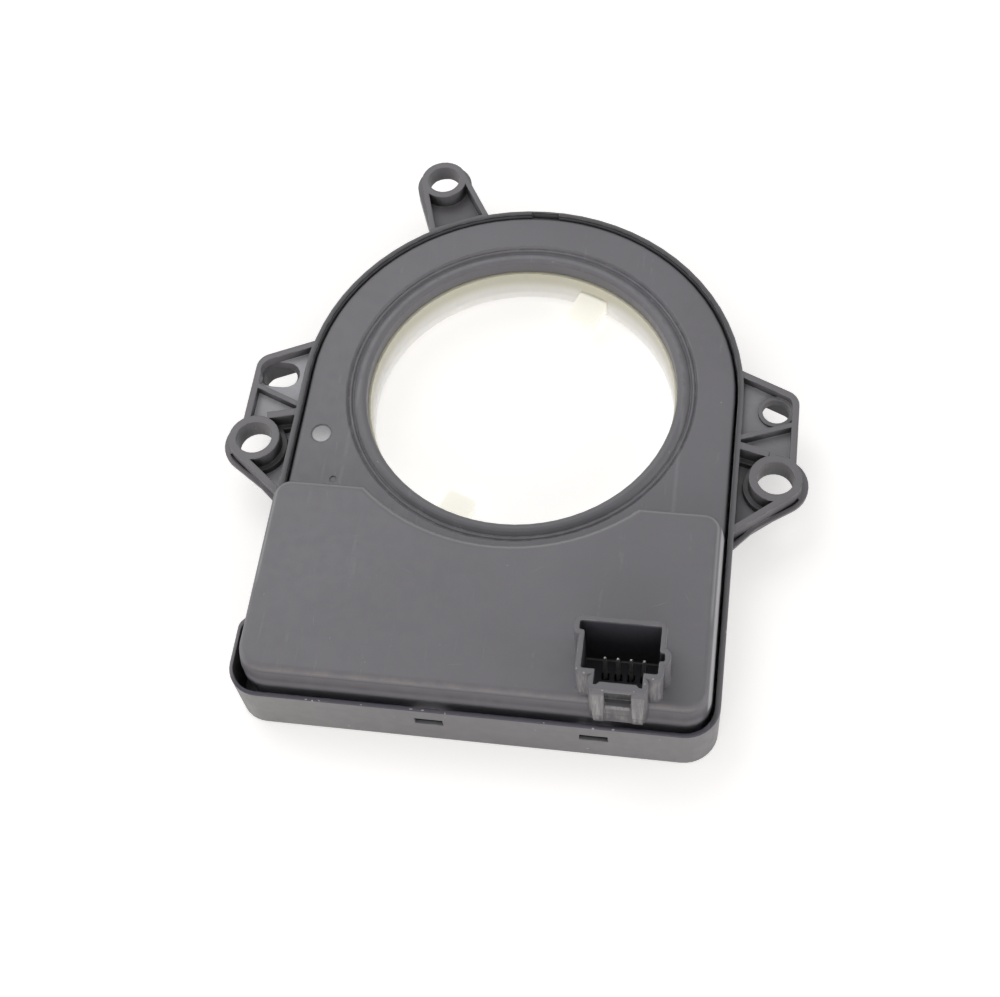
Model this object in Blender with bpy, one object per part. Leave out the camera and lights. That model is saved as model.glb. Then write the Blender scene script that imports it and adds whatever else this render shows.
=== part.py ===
"""Steering angle sensor: housing, cover, rotor, counting gears, circuit board and connector.

The sensor sits round a steering column. The rotor turns with the column and drives two small
gears with different tooth numbers. A magnet in each gear turns above an angle chip.

Lengths are in metres. +Z points out of the cover and +Y to the round end of the housing.
Sizes and places below are measured from the bore's axis at the underside of the housing.
The whole part is then moved so that the origin is under the middle of its bounding box.
"""
import math

import bmesh
import bpy

MM = 0.001

# Clearances
GAP = 0.3 * MM
EMBED = 0.25 * MM
OVERCUT = 1.0 * MM
FINEST_R = 0.02 * MM

# The bore and the ring round it
BORE_R = 29.0 * MM
RING_W = 12.1 * MM
RING_R = BORE_R + RING_W

# Housing: a tray with a round rear end
FRONT_Y = -66.25 * MM
LEFT_STEP = 1.45 * MM
LEFT_STEP_Y = -51.5 * MM
LEFT_STEP_L = 1.8 * MM
LEFT_STEP_R = 2.0 * MM
LEFT_STEP_LAG = 0.4 * MM
FRONT_LEFT_CORNER_R = 5.5 * MM
FRONT_RIGHT_CORNER_R = 6.0 * MM
WALL_T = 1.0 * MM
FRONT_WALL_T = 0.65 * MM
FLOOR_T = 1.5 * MM
HOUSING_H = 12.1 * MM
RIM_EDGE_R = 0.3 * MM
BASE_EDGE_R = 0.25 * MM
ROTOR_HOLE_SETBACK = 1.3 * MM
ROTOR_HOLE_R = BORE_R + ROTOR_HOLE_SETBACK
TRACK_T = 1.4 * MM
STANDOFF_R = 2.0 * MM
STANDOFF_H = 0.5 * MM
STANDOFF_INSET = 6.0 * MM
STANDOFF_FRONT_INSET = 6.25 * MM
STANDOFF_REAR_Y = -33.0 * MM

# Snap windows in the front wall and the notch in the rear rim
WINDOW_TOP_DROP = 3.45 * MM
WINDOW_H = 2.15 * MM
WINDOW_W = 4.85 * MM
WINDOW_LEFT_X = -7.5 * MM
WINDOW_RIGHT_X = 20.45 * MM
HOOK_W = 2.95 * MM
HOOK_H = 0.65 * MM
HOOK_SETBACK = 0.35 * MM
NOTCH_X = -0.2 * MM
NOTCH_W = 5.4 * MM
NOTCH_DEPTH = 1.8 * MM
NOTCH_SKIN = 0.5 * MM

# Side lugs, given for the right-hand side
LUG_H = 6.6 * MM
LUG_LOW_H = 5.2 * MM
LUG_LOW_START_Y = -13.5 * MM
LUG_FLOOR_DROP = 4.4 * MM
LUG_LEDGE_DROP = 3.0 * MM
LUG_LEDGE_W = 0.95 * MM
LUG_WEB_DROP = 1.8 * MM
LUG_WEB_T = 1.1 * MM
LUG_RIB_T = 1.2 * MM
LUG_EDGE_RIGHT_X = RING_R + 10.1 * MM
LUG_EDGE_LEFT_X = -(RING_R + 9.4 * MM)
LUG_SHOULDER_Y = 1.8 * MM
LUG_SHOULDER_R = 3.2 * MM
LUG_ROOT_Y = 7.5 * MM
LUG_ROOT_DEPTH = 2.9 * MM
LUG_BOSS_X = RING_R + 6.64 * MM
LUG_BOSS_Y = -15.86 * MM
LUG_BOSS_R = 4.75 * MM
LUG_HOLE_R = 3.33 * MM
LUG_HOLE_DEPTH = 4.4 * MM
LUG_UNDER_R = 5.05 * MM
LUG_FLANGE_R = 5.95 * MM
LUG_FLANGE_DROP = 2.5 * MM
LUG_FLANGE_T = 1.5 * MM
LUG_FLANGE_BEVEL = 0.9 * MM
LUG_LIP_T = 0.8 * MM
GUTTER_DEPTH = 0.8 * MM
GUTTER_START = -30.0
GUTTER_END = -100.0
GUSSET_END_Y = -27.6 * MM
FLANGE_BEND_X = RING_R + 3.9 * MM
FLANGE_BEND_Y = -24.95 * MM
FLANGE_BEND_R = 8.0 * MM
FLANGE_END_RIGHT_Y = -29.8 * MM
FLANGE_END_LEFT_Y = -28.6 * MM
BRACE_T = 0.95 * MM
BRACE_OUTER_Y = -4.1 * MM
BRACE_INNER_Y = -7.95 * MM
STAY_T = 1.4 * MM
STAY_OUTER_X = RING_R + 5.15 * MM
STAY_OUTER_Y = -10.9 * MM
STAY_INNER_Y = -9.55 * MM
UPPER_HOLE_X = RING_R + 6.05 * MM
UPPER_HOLE_Y = -1.1 * MM
UPPER_HOLE_R = 2.5 * MM
UPPER_RING_T = 0.8 * MM
UPPER_RING_DROP = 1.3 * MM
SLOT_X = -(RING_R + 5.2 * MM)
SLOT_Y = -0.6 * MM
SLOT_L = 6.5 * MM
SLOT_W = 4.1 * MM
SLOT_FUNNEL_W = 0.75 * MM
SLOT_FUNNEL_DEPTH = 1.2 * MM

# Rear lug
REAR_BOSS_DISTANCE = RING_R + 11.155 * MM
REAR_BOSS_ANGLE = 114.476
REAR_BOSS_R = 4.5 * MM
REAR_HOLE_R = 3.15 * MM
REAR_HOLE_DEPTH = 3.4 * MM
REAR_RELIEF_T = 1.1 * MM
REAR_LUG_H = 4.8 * MM
REAR_FLANGE_R = 5.45 * MM
REAR_FLANGE_DROP = 2.0 * MM
REAR_ROOT_R = RING_R - 0.65 * MM
REAR_LEFT_ROOT_ANGLE = 123.2
REAR_RIGHT_ROOT_ANGLE = 106.1
REAR_RIB_T = 1.0 * MM
REAR_WEB_DROP = 3.0 * MM

# Cover
COVER_GAP = 0.45 * MM
COVER_FRONT_GAP = 1.55 * MM
COVER_DROP = 0.6 * MM
COVER_T = 1.5 * MM
COVER_EDGE_R = 0.3 * MM
SKIRT_T = 1.2 * MM
LIP_T = 1.2 * MM
BEAD_W = 3.8 * MM
BEAD_STEPS = [(0.0, 0.65), (0.05, 0.3), (0.16, 0.06), (0.3, 0.0), (0.44, 0.16), (0.57, 0.5),
              (0.64, 0.75), (0.69, 0.68), (0.75, 0.3), (0.81, 0.28), (0.89, 0.55), (1.0, 0.0)]
BOX_RISE = 5.1 * MM
BOX_OVERHANG = 1.43 * MM
BOX_REAR_Y = -25.8 * MM
HUB_CLEARANCE = 1.7 * MM
BOX_REAR_CORNER_R = 3.8 * MM
BOX_ARC_CORNER_R = 1.4 * MM
BOX_EDGE_R = 1.3 * MM
BOX_DRAFT = 0.6 * MM
BOX_WALL_T = 1.5 * MM
WITNESS_X = -(RING_R - 5.61 * MM)
WITNESS_Y = -13.49 * MM
WITNESS_R = 1.95 * MM
WITNESS_DEPTH = 0.2 * MM
DIMPLE_X = -(RING_R - 9.58 * MM)
DIMPLE_Y = -22.99 * MM
DIMPLE_R = 0.65 * MM

# Connector shroud, with a key channel that stands out in front of the box
CAVITY_LEFT_X = 18.24 * MM
CAVITY_RIGHT_X = 30.59 * MM
CAVITY_REAR_Y = -52.94 * MM
CAVITY_FRONT_Y = -61.32 * MM
CAVITY_CORNER_R = 0.35 * MM
LEFT_EAR_DEPTH = 0.95 * MM
LEFT_EAR_Y = -54.65 * MM
RIGHT_EAR_DEPTH = 0.9 * MM
RIGHT_EAR_REAR_Y = -57.5 * MM
RIGHT_EAR_FRONT_Y = -58.98 * MM
KEY_LEFT_X = 20.5 * MM
KEY_RIGHT_X = 28.33 * MM
KEY_FRONT_Y = -63.95 * MM
KEY_PAD_T = 0.5 * MM
KEY_PAD_MARGIN = 1.0 * MM
SHROUD_WALL_T = 0.95 * MM
SHROUD_RISE = 8.7 * MM
SHROUD_FLOOR_Z = 10.2 * MM
SHROUD_FLOOR_T = 1.5 * MM
KEY_BOTTOM_RISE = 0.5 * MM
KEY_FLOOR_T = 1.4 * MM
BUTTRESS_LEFT_X = 21.3 * MM
BUTTRESS_RIGHT_X = 27.75 * MM
BUTTRESS_W = 2.15 * MM
BUTTRESS_FOOT_W = 1.7 * MM
BUTTRESS_PROUD = 0.5 * MM
BUTTRESS_FOOT_H = 2.7 * MM
LATCH_LIP_H = 0.9 * MM
LATCH_RECESS_DEPTH = 0.75 * MM
LATCH_RECESS_H = 3.9 * MM
NOSE_PROUD = 0.6 * MM
NOSE_H = 1.2 * MM
NOSE_GAP = 0.2 * MM

# Terminals
TERMINAL_COUNT = 4
TERMINAL_PITCH = 2.17 * MM
TERMINAL_X = 24.75 * MM
TERMINAL_Y = -56.0 * MM
TERMINAL_W = 0.64 * MM
TERMINAL_TOP_Z = 17.9 * MM
TERMINAL_TIP_H = 0.9 * MM
TERMINAL_TIP_INSET = 0.16 * MM

# Rotor
ROTOR_T = 1.3 * MM
ROTOR_RUNNING_GAP = 0.4 * MM
ROTOR_BOTTOM_Z = 0.6 * MM
ROTOR_FLANGE_T = 2.4 * MM
ROTOR_OVERLAP = 0.1 * MM
TAB_W = 5.8 * MM
TAB_REACH = 6.5 * MM
TAB_ANGLE = 67.6
TAB_BOTTOM_Z = 2.0 * MM
TAB_H = 3.0 * MM
TAB_CORNER_R = 0.7 * MM

# Gear train
TOOTH_SETBACK = 2.7 * MM
PRESSURE_ANGLE = 20.0
ADDENDUM = 0.9
DEDENDUM = 1.2
BACKLASH = 0.4 * MM
ROTOR_TEETH = 66
GEAR_A_TEETH = 18
GEAR_B_TEETH = 17
GEAR_A_ANGLE = -110.0
GEAR_B_ANGLE = -70.0
GEAR_T = 2.2 * MM
GEAR_WEB_T = 0.8 * MM
GEAR_HUB_R = 3.0 * MM
GEAR_HUB_H = 3.4 * MM
GEAR_BOSS_T = 1.2 * MM
POST_R = 1.5 * MM
MAGNET_R = 3.0 * MM
MAGNET_T = 1.8 * MM

# Circuit board and what it carries
BOARD_T = 1.6 * MM
BOARD_EDGE_GAP = 0.6 * MM
BOARD_REAR_Y = -27.5 * MM
BOARD_TRACK_GAP = 3.8 * MM
BOARD_CORNER_R = 4.0 * MM
BOARD_ARC_CORNER_R = 1.0 * MM
CHIP_T = 0.9 * MM
CHIP_L = 5.0 * MM
CHIP_W = 3.9 * MM
CHIP_TAPER = 0.15 * MM
CHIP_LEAD_COUNT = 4
CONTROLLER_L = 9.0 * MM
CONTROLLER_W = 7.0 * MM
CONTROLLER_LEAD_COUNT = 10
LEAD_T = 0.2 * MM
LEAD_W = 0.45 * MM
LEAD_L = 0.9 * MM
BLOCK_L = 3.2 * MM
BLOCK_W = 1.6 * MM
BLOCK_EDGE_SHARE = 0.15
CRYSTAL_W = 2.5 * MM
CRYSTAL_T = 0.8 * MM
CAPACITOR_T = 1.2 * MM
RESISTOR_T = 0.6 * MM
RETAINER_T = 0.8 * MM
RETAINER_GAP = 0.2 * MM
RETAINER_PAD_R = 6.9 * MM
RETAINER_HOLE_R = 4.0 * MM
RETAINER_BAR_W = 5.0 * MM
LEG_R = 1.0 * MM
LEG_ANGLES = (-150.0, -30.0)
LEG_SHARES = (0.4, 0.6)

# Places on the board: millimetres from the bore's axis in X and from the front of the housing in Y
CONTROLLER_PLACE = (-2.0, 11.25)
TRANSCEIVER_PLACE = (10.5, 9.25)
REGULATOR_PLACE = (-17.0, 10.25)
CRYSTAL_PLACE = (-9.5, 15.75)
CAPACITOR_PLACES = [(-30.0, 16.25), (-30.0, 20.25), (6.5, 15.25)]
RESISTOR_PLACES = [(-30.0, 10.25), (-24.5, 15.25), (16.2, 9.25)]

# Colours, linear, and roughness
PLASTIC = (0.17, 0.17, 0.18)
PLASTIC_ROUGHNESS = 0.5
ROTOR_COLOUR = (0.62, 0.58, 0.42)
GEAR_COLOUR = (0.75, 0.74, 0.68)
MAGNET_COLOUR = (0.35, 0.35, 0.36)
BOARD_COLOUR = (0.02, 0.14, 0.06)
CHIP_COLOUR = (0.02, 0.02, 0.02)
CAPACITOR_COLOUR = (0.35, 0.24, 0.15)
METAL = (0.6, 0.6, 0.6)
TERMINAL_COLOUR = (0.75, 0.7, 0.62)

# Mesh fineness
RING_STEPS = 72
BOSS_STEPS = 28
SMALL_STEPS = 16
FILLET_STEPS = 4
LARGE_FILLET_R = 3.0 * MM
LARGE_FILLET_STEPS = 9
HOLLOW_STEPS = 20
FLANK_STEPS = 1
SMOOTH_ANGLE = math.radians(32)
ROUNDING_SHARE = 0.3

# Heights that follow from the sizes above
RIM_Z = HOUSING_H
COVER_Z = RIM_Z - COVER_DROP
COVER_UNDER_Z = COVER_Z - COVER_T
BOX_Z = COVER_Z + BOX_RISE
SHROUD_Z = BOX_Z + SHROUD_RISE
BOARD_Z = FLOOR_T + STANDOFF_H + GAP
BOARD_TOP_Z = BOARD_Z + BOARD_T
PART_Z = BOARD_TOP_Z + GAP
RETAINER_Z = PART_Z + LEAD_T + RETAINER_GAP
GEAR_Z = RETAINER_Z + RETAINER_T + GAP
GEAR_TOP_Z = GEAR_Z + GEAR_T
POCKET_TOP_Z = GEAR_Z + MAGNET_T + GAP
ROTOR_TOP_Z = GEAR_TOP_Z + ROTOR_OVERLAP
FLANGE_Z = ROTOR_TOP_Z - ROTOR_FLANGE_T
LIP_Z = ROTOR_TOP_Z + GAP
LUG_Z = RIM_Z - LUG_H
KEY_BOTTOM_Z = RIM_Z + KEY_BOTTOM_RISE
SHROUD_FACE_Y = KEY_FRONT_Y - SHROUD_WALL_T
LIP_BOTTOM_Z = SHROUD_Z - LATCH_LIP_H
NOSE_Z = LIP_BOTTOM_Z - LATCH_RECESS_H

# Plan sizes that follow
ROTOR_OUTER_R = ROTOR_HOLE_R - ROTOR_RUNNING_GAP
ROTOR_INNER_R = ROTOR_OUTER_R - ROTOR_T
MODULE = 2 * (ROTOR_HOLE_R + TOOTH_SETBACK) / ROTOR_TEETH
GEAR_A_DISTANCE = MODULE * (ROTOR_TEETH + GEAR_A_TEETH) / 2
GEAR_B_DISTANCE = MODULE * (ROTOR_TEETH + GEAR_B_TEETH) / 2
BOX_ARC_R = min(GEAR_A_DISTANCE, GEAR_B_DISTANCE) - GEAR_HUB_R - HUB_CLEARANCE - BOX_WALL_T
BOARD_ARC_R = ROTOR_HOLE_R + TRACK_T + BOARD_TRACK_GAP
REAR_REACH_Y = REAR_BOSS_DISTANCE * math.sin(math.radians(REAR_BOSS_ANGLE)) + REAR_FLANGE_R
CENTRE_Y = (REAR_REACH_Y + FRONT_Y) / 2


# Outlines: lists of corners (x, y, fillet radius), anticlockwise seen from above

def polar(radius, degrees, centre=(0.0, 0.0)):
    angle = math.radians(degrees)
    return centre[0] + radius * math.cos(angle), centre[1] + radius * math.sin(angle)


def arc(radius, start, end, steps, centre=(0.0, 0.0)):
    """Corners along an arc, both ends included, from start to end in degrees."""
    corners = []
    for step in range(steps + 1):
        x, y = polar(radius, start + (end - start) * step / steps, centre)
        corners.append((x, y, 0.0))
    return corners


def circle(radius, steps, centre=(0.0, 0.0)):
    return arc(radius, 0.0, 360.0, steps, centre)[:-1]


def rectangle(x_low, x_high, y_low, y_high, corner_r=0.0):
    return [(x_low, y_low, corner_r), (x_high, y_low, corner_r),
            (x_high, y_high, corner_r), (x_low, y_high, corner_r)]


def rib(start, end, width):
    """Outline of a straight rib between two points."""
    length = math.dist(start, end)
    side_x = (end[1] - start[1]) / length * width / 2
    side_y = (start[0] - end[0]) / length * width / 2
    return [(start[0] + side_x, start[1] + side_y, 0.0), (end[0] + side_x, end[1] + side_y, 0.0),
            (end[0] - side_x, end[1] - side_y, 0.0), (start[0] - side_x, start[1] - side_y, 0.0)]


def mirrored(corners):
    """The same outline on the other side of the YZ plane, still anticlockwise."""
    return [(-x, y, r) for x, y, r in reversed(corners)]


def grow(corners, distance):
    """The outline moved outwards by a distance, each fillet following."""
    grown = []
    for index, (x, y, r) in enumerate(corners):
        x0, y0, _ = corners[index - 1]
        x1, y1, _ = corners[(index + 1) % len(corners)]
        before = math.hypot(x - x0, y - y0)
        after = math.hypot(x1 - x, y1 - y)
        ax, ay = (x - x0) / before, (y - y0) / before
        bx, by = (x1 - x) / after, (y1 - y) / after
        turn = ax * by - ay * bx
        reach = distance / (1.0 + ax * bx + ay * by)
        if r > 0.0:
            bend = 1.0 if turn > 0.0 else -1.0
            r = max(r + bend * distance, FINEST_R)
        grown.append((x + reach * (ay + by), y - reach * (ax + bx), r))
    return grown


def tangent_point(point, centre, radius, side=1):
    """Where the line from a point touches a circle, on its right-hand side or with -1 its left."""
    dx, dy = centre[0] - point[0], centre[1] - point[1]
    distance = math.hypot(dx, dy)
    heading = math.atan2(dy, dx) - side * math.asin(radius / distance)
    length = math.sqrt(distance ** 2 - radius ** 2)
    return point[0] + length * math.cos(heading), point[1] + length * math.sin(heading)


def points_of(corners, guide=None):
    """Plain points of an outline, with each fillet cut into as many steps as its guide's."""
    points = []
    for index, (x, y, r) in enumerate(corners):
        if r <= 0.0:
            points.append((x, y))
            continue
        steps = LARGE_FILLET_STEPS if (guide or corners)[index][2] > LARGE_FILLET_R else FILLET_STEPS
        x0, y0, _ = corners[index - 1]
        x1, y1, _ = corners[(index + 1) % len(corners)]
        heading_in = math.atan2(y - y0, x - x0)
        heading_out = math.atan2(y1 - y, x1 - x)
        turn = math.remainder(heading_out - heading_in, math.tau)
        length = r * math.tan(abs(turn) / 2)
        start_x, start_y = x - length * math.cos(heading_in), y - length * math.sin(heading_in)
        side = math.copysign(math.pi / 2, turn)
        centre_x = start_x + r * math.cos(heading_in + side)
        centre_y = start_y + r * math.sin(heading_in + side)
        for step in range(steps + 1):
            angle = heading_in - side + turn * step / steps
            points.append((centre_x + r * math.cos(angle), centre_y + r * math.sin(angle)))
    return points


def plan(inset, front_inset):
    """Outline of what lies inside the housing by an inset."""
    ring = RING_R - inset
    front = FRONT_Y + front_inset
    return arc(ring, 0.0, 180.0, RING_STEPS // 2) + [
        (-ring, front, FRONT_LEFT_CORNER_R - inset), (ring, front, FRONT_RIGHT_CORNER_R - inset)]


def stepped_plan(inset, front_inset, step, step_y):
    """Outline of the housing, whose left side steps out before the front corner."""
    ring = RING_R - inset
    left = -(ring + step)
    front = FRONT_Y + front_inset
    return arc(ring, 0.0, 180.0, RING_STEPS // 2) + [
        (-ring, step_y, LEFT_STEP_R), (left, step_y - LEFT_STEP_L, LEFT_STEP_R),
        (left, front, FRONT_LEFT_CORNER_R - front_inset),
        (ring, front, FRONT_RIGHT_CORNER_R - inset)]


def chamber(inset, front_inset, rear_y, arc_r, rear_corner_r, arc_corner_r, overhang=0.0):
    """Outline of the front part of the plan, with a hollow rear edge round the bore."""
    side = RING_R - inset
    left = -(side + overhang)
    front = FRONT_Y + front_inset
    meeting = math.degrees(math.asin(rear_y / arc_r))
    hollow = arc(arc_r, meeting, -180.0 - meeting, HOLLOW_STEPS)
    hollow[0] = hollow[0][:2] + (arc_corner_r,)
    hollow[-1] = hollow[-1][:2] + (arc_corner_r,)
    return [(left, front, FRONT_LEFT_CORNER_R - inset + overhang),
            (side, front, FRONT_RIGHT_CORNER_R - inset), (side, rear_y, rear_corner_r)] + hollow + [(left, rear_y, rear_corner_r)]


def gear_outline(teeth, first_tooth=0.0):
    """Involute outline of a spur gear, with one tooth centred on an angle in degrees."""
    pitch_r = MODULE * teeth / 2
    base_r = pitch_r * math.cos(math.radians(PRESSURE_ANGLE))
    root_r = pitch_r - DEDENDUM * MODULE
    tip_r = pitch_r + ADDENDUM * MODULE
    pressure = math.radians(PRESSURE_ANGLE)
    half_at_pitch = math.pi / (2 * teeth) - BACKLASH / (4 * pitch_r)
    half_at_base = half_at_pitch + math.tan(pressure) - pressure
    low_r = max(base_r, root_r)
    flank = []
    for step in range(FLANK_STEPS + 1):
        radius = low_r + (tip_r - low_r) * step / FLANK_STEPS
        roll = math.acos(min(base_r / radius, 1.0))
        flank.append((radius, half_at_base - math.tan(roll) + roll))
    if root_r < base_r:
        flank.insert(0, (root_r, half_at_base))
    corners = []
    for tooth in range(teeth):
        middle = math.radians(first_tooth) + math.tau * tooth / teeth
        for radius, half in flank:
            corners.append((radius * math.cos(middle - half), radius * math.sin(middle - half), 0.0))
        for radius, half in reversed(flank):
            corners.append((radius * math.cos(middle + half), radius * math.sin(middle + half), 0.0))
    return corners


def meshing_angle(direction, teeth):
    """First tooth of a gear whose centre lies in a direction from the rotor, in mesh with it."""
    rotor_pitch = 360.0 / ROTOR_TEETH
    pitch = 360.0 / teeth
    lead = round(direction / rotor_pitch) - direction / rotor_pitch
    return direction + 180.0 - lead * pitch + pitch / 2


# Bodies

def clear_scene():
    for item in list(bpy.data.objects):
        bpy.data.objects.remove(item, do_unlink=True)


def make_frame():
    """Empty on the bore's axis that carries every piece."""
    frame = bpy.data.objects.new("bore_axis", None)
    frame.location = (0.0, -CENTRE_Y, 0.0)
    bpy.context.scene.collection.objects.link(frame)
    return frame


def add_object(name, bm):
    bmesh.ops.recalc_face_normals(bm, faces=bm.faces)
    mesh = bpy.data.meshes.new(name)
    bm.to_mesh(mesh)
    bm.free()
    piece = bpy.data.objects.new(name, mesh)
    bpy.context.scene.collection.objects.link(piece)
    piece.parent = bpy.data.objects["bore_axis"]
    return piece


def bridge(bm, first, second):
    count = len(first)
    for index in range(count):
        following = (index + 1) % count
        bm.faces.new((first[index], first[following], second[following], second[index]))


def solid(name, corners, levels, centre=(0.0, 0.0)):
    """Body through one outline at several heights, given as (height, inset)."""
    bm = bmesh.new()
    rings = []
    for z, inset in levels:
        outline = grow(corners, -inset) if inset else corners
        rings.append([bm.verts.new((x, y, z)) for x, y in points_of(outline, corners)])
    for low, high in zip(rings, rings[1:]):
        bridge(bm, low, high)
    bm.faces.new(rings[0])
    bm.faces.new(rings[-1])
    piece = add_object(name, bm)
    piece.location = (centre[0], centre[1], 0.0)
    return piece


def prism(name, corners, z_low, z_high, centre=(0.0, 0.0)):
    return solid(name, corners, [(z_low, 0.0), (z_high, 0.0)], centre)


def disc(name, radius, z_low, z_high, centre=(0.0, 0.0), steps=BOSS_STEPS):
    return prism(name, circle(radius, steps), z_low, z_high, centre)


def block(name, x_low, x_high, y_low, y_high, z_low, z_high):
    return prism(name, rectangle(x_low, x_high, y_low, y_high), z_low, z_high)


def band(name, corners, thickness, z_low, z_high):
    """Upright wall along the inner side of an outline."""
    bm = bmesh.new()
    outer = points_of(corners)
    inner = points_of(grow(corners, -thickness), corners)
    loops = []
    for path, z in ((outer, z_low), (outer, z_high), (inner, z_high), (inner, z_low)):
        loops.append([bm.verts.new((x, y, z)) for x, y in path])
    for index, loop in enumerate(loops):
        bridge(bm, loop, loops[(index + 1) % len(loops)])
    return add_object(name, bm)


def turned(name, profile, steps):
    """Ring turned about the bore's axis from a closed profile of (radius, height)."""
    bm = bmesh.new()
    loops = []
    for step in range(steps):
        loops.append([bm.verts.new((*polar(r, 360.0 * step / steps), z)) for r, z in profile])
    for index, loop in enumerate(loops):
        bridge(bm, loop, loops[(index + 1) % steps])
    return add_object(name, bm)


def slab(name, profile, x):
    """Body on both sides of a plane across X, from a profile of (y, z, half width)."""
    bm = bmesh.new()
    sides = [[bm.verts.new((x + side * half, y, z)) for y, z, half in profile] for side in (-1, 1)]
    bridge(bm, sides[0], sides[1])
    bm.faces.new(sides[0])
    bm.faces.new(sides[1])
    return add_object(name, bm)


def combine(target, operation, tools):
    """Boolean of a piece with several guides, which are hidden and stay editable."""
    group = bpy.data.collections.new(target.name + "_" + operation.lower())
    for tool in tools:
        tool.hide_render = True
        tool.display_type = "WIRE"
        group.objects.link(tool)
    modifier = target.modifiers.new(operation.title(), "BOOLEAN")
    modifier.solver = "EXACT"
    modifier.operation = operation
    modifier.operand_type = "COLLECTION"
    modifier.collection = group


def join(target, tools):
    combine(target, "UNION", tools)


def cut(target, tools):
    combine(target, "DIFFERENCE", tools)


def finish(piece, colour, roughness, metallic=0.0, alpha=1.0):
    """Gives a piece its own material and smooth shading that keeps its sharp edges."""
    material = bpy.data.materials.new(piece.name)
    material.use_nodes = True
    shader = material.node_tree.nodes["Principled BSDF"]
    shader.inputs["Base Color"].default_value = (*colour, 1.0)
    shader.inputs["Roughness"].default_value = roughness
    shader.inputs["Metallic"].default_value = metallic
    shader.inputs["Alpha"].default_value = alpha
    piece.data.materials.append(material)
    piece.data.shade_smooth()
    piece.data.set_sharp_from_angle(angle=SMOOTH_ANGLE)


# Housing

def lug_tops(edge_x):
    """Outline of a side lug at the rim, drawn for the right-hand side."""
    boss = (LUG_BOSS_X, LUG_BOSS_Y)
    root_x = RING_R - LUG_ROOT_DEPTH
    gusset_root = (RING_R - EMBED, GUSSET_END_Y)
    touch = tangent_point(gusset_root, boss, LUG_BOSS_R)
    rise = math.sqrt(LUG_BOSS_R ** 2 - (edge_x - LUG_BOSS_X) ** 2)
    return [(root_x, GUSSET_END_Y, 0.0), (*gusset_root, 0.0), (*touch, 0.0),
            (edge_x, LUG_BOSS_Y + rise, 0.0), (edge_x, LUG_SHOULDER_Y, LUG_SHOULDER_R),
            (root_x, LUG_ROOT_Y, 0.0)]


def lug_flange(end_y):
    """Outline of the low flange round a side lug's boss, for the right-hand side."""
    boss = (LUG_BOSS_X, LUG_BOSS_Y)
    root_x = RING_R - LUG_ROOT_DEPTH
    bend = (FLANGE_BEND_X, FLANGE_BEND_Y)
    touch = tangent_point(bend, boss, LUG_FLANGE_R)
    return [(root_x, end_y, 0.0), (RING_R - EMBED, end_y, 0.0),
            (*bend, FLANGE_BEND_R), (*touch, 0.0), (*boss, 0.0), (root_x, LUG_BOSS_Y, 0.0)]


def upper_opening(flip):
    """Outline of the opening above a side lug's boss: round on the right, a slot on the left."""
    if flip:
        return rectangle(SLOT_X - SLOT_L / 2, SLOT_X + SLOT_L / 2, SLOT_Y - SLOT_W / 2,
                         SLOT_Y + SLOT_W / 2, SLOT_W / 2 - FINEST_R)
    return [(x + UPPER_HOLE_X, y + UPPER_HOLE_Y, r) for x, y, r in circle(UPPER_HOLE_R, BOSS_STEPS)]


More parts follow.
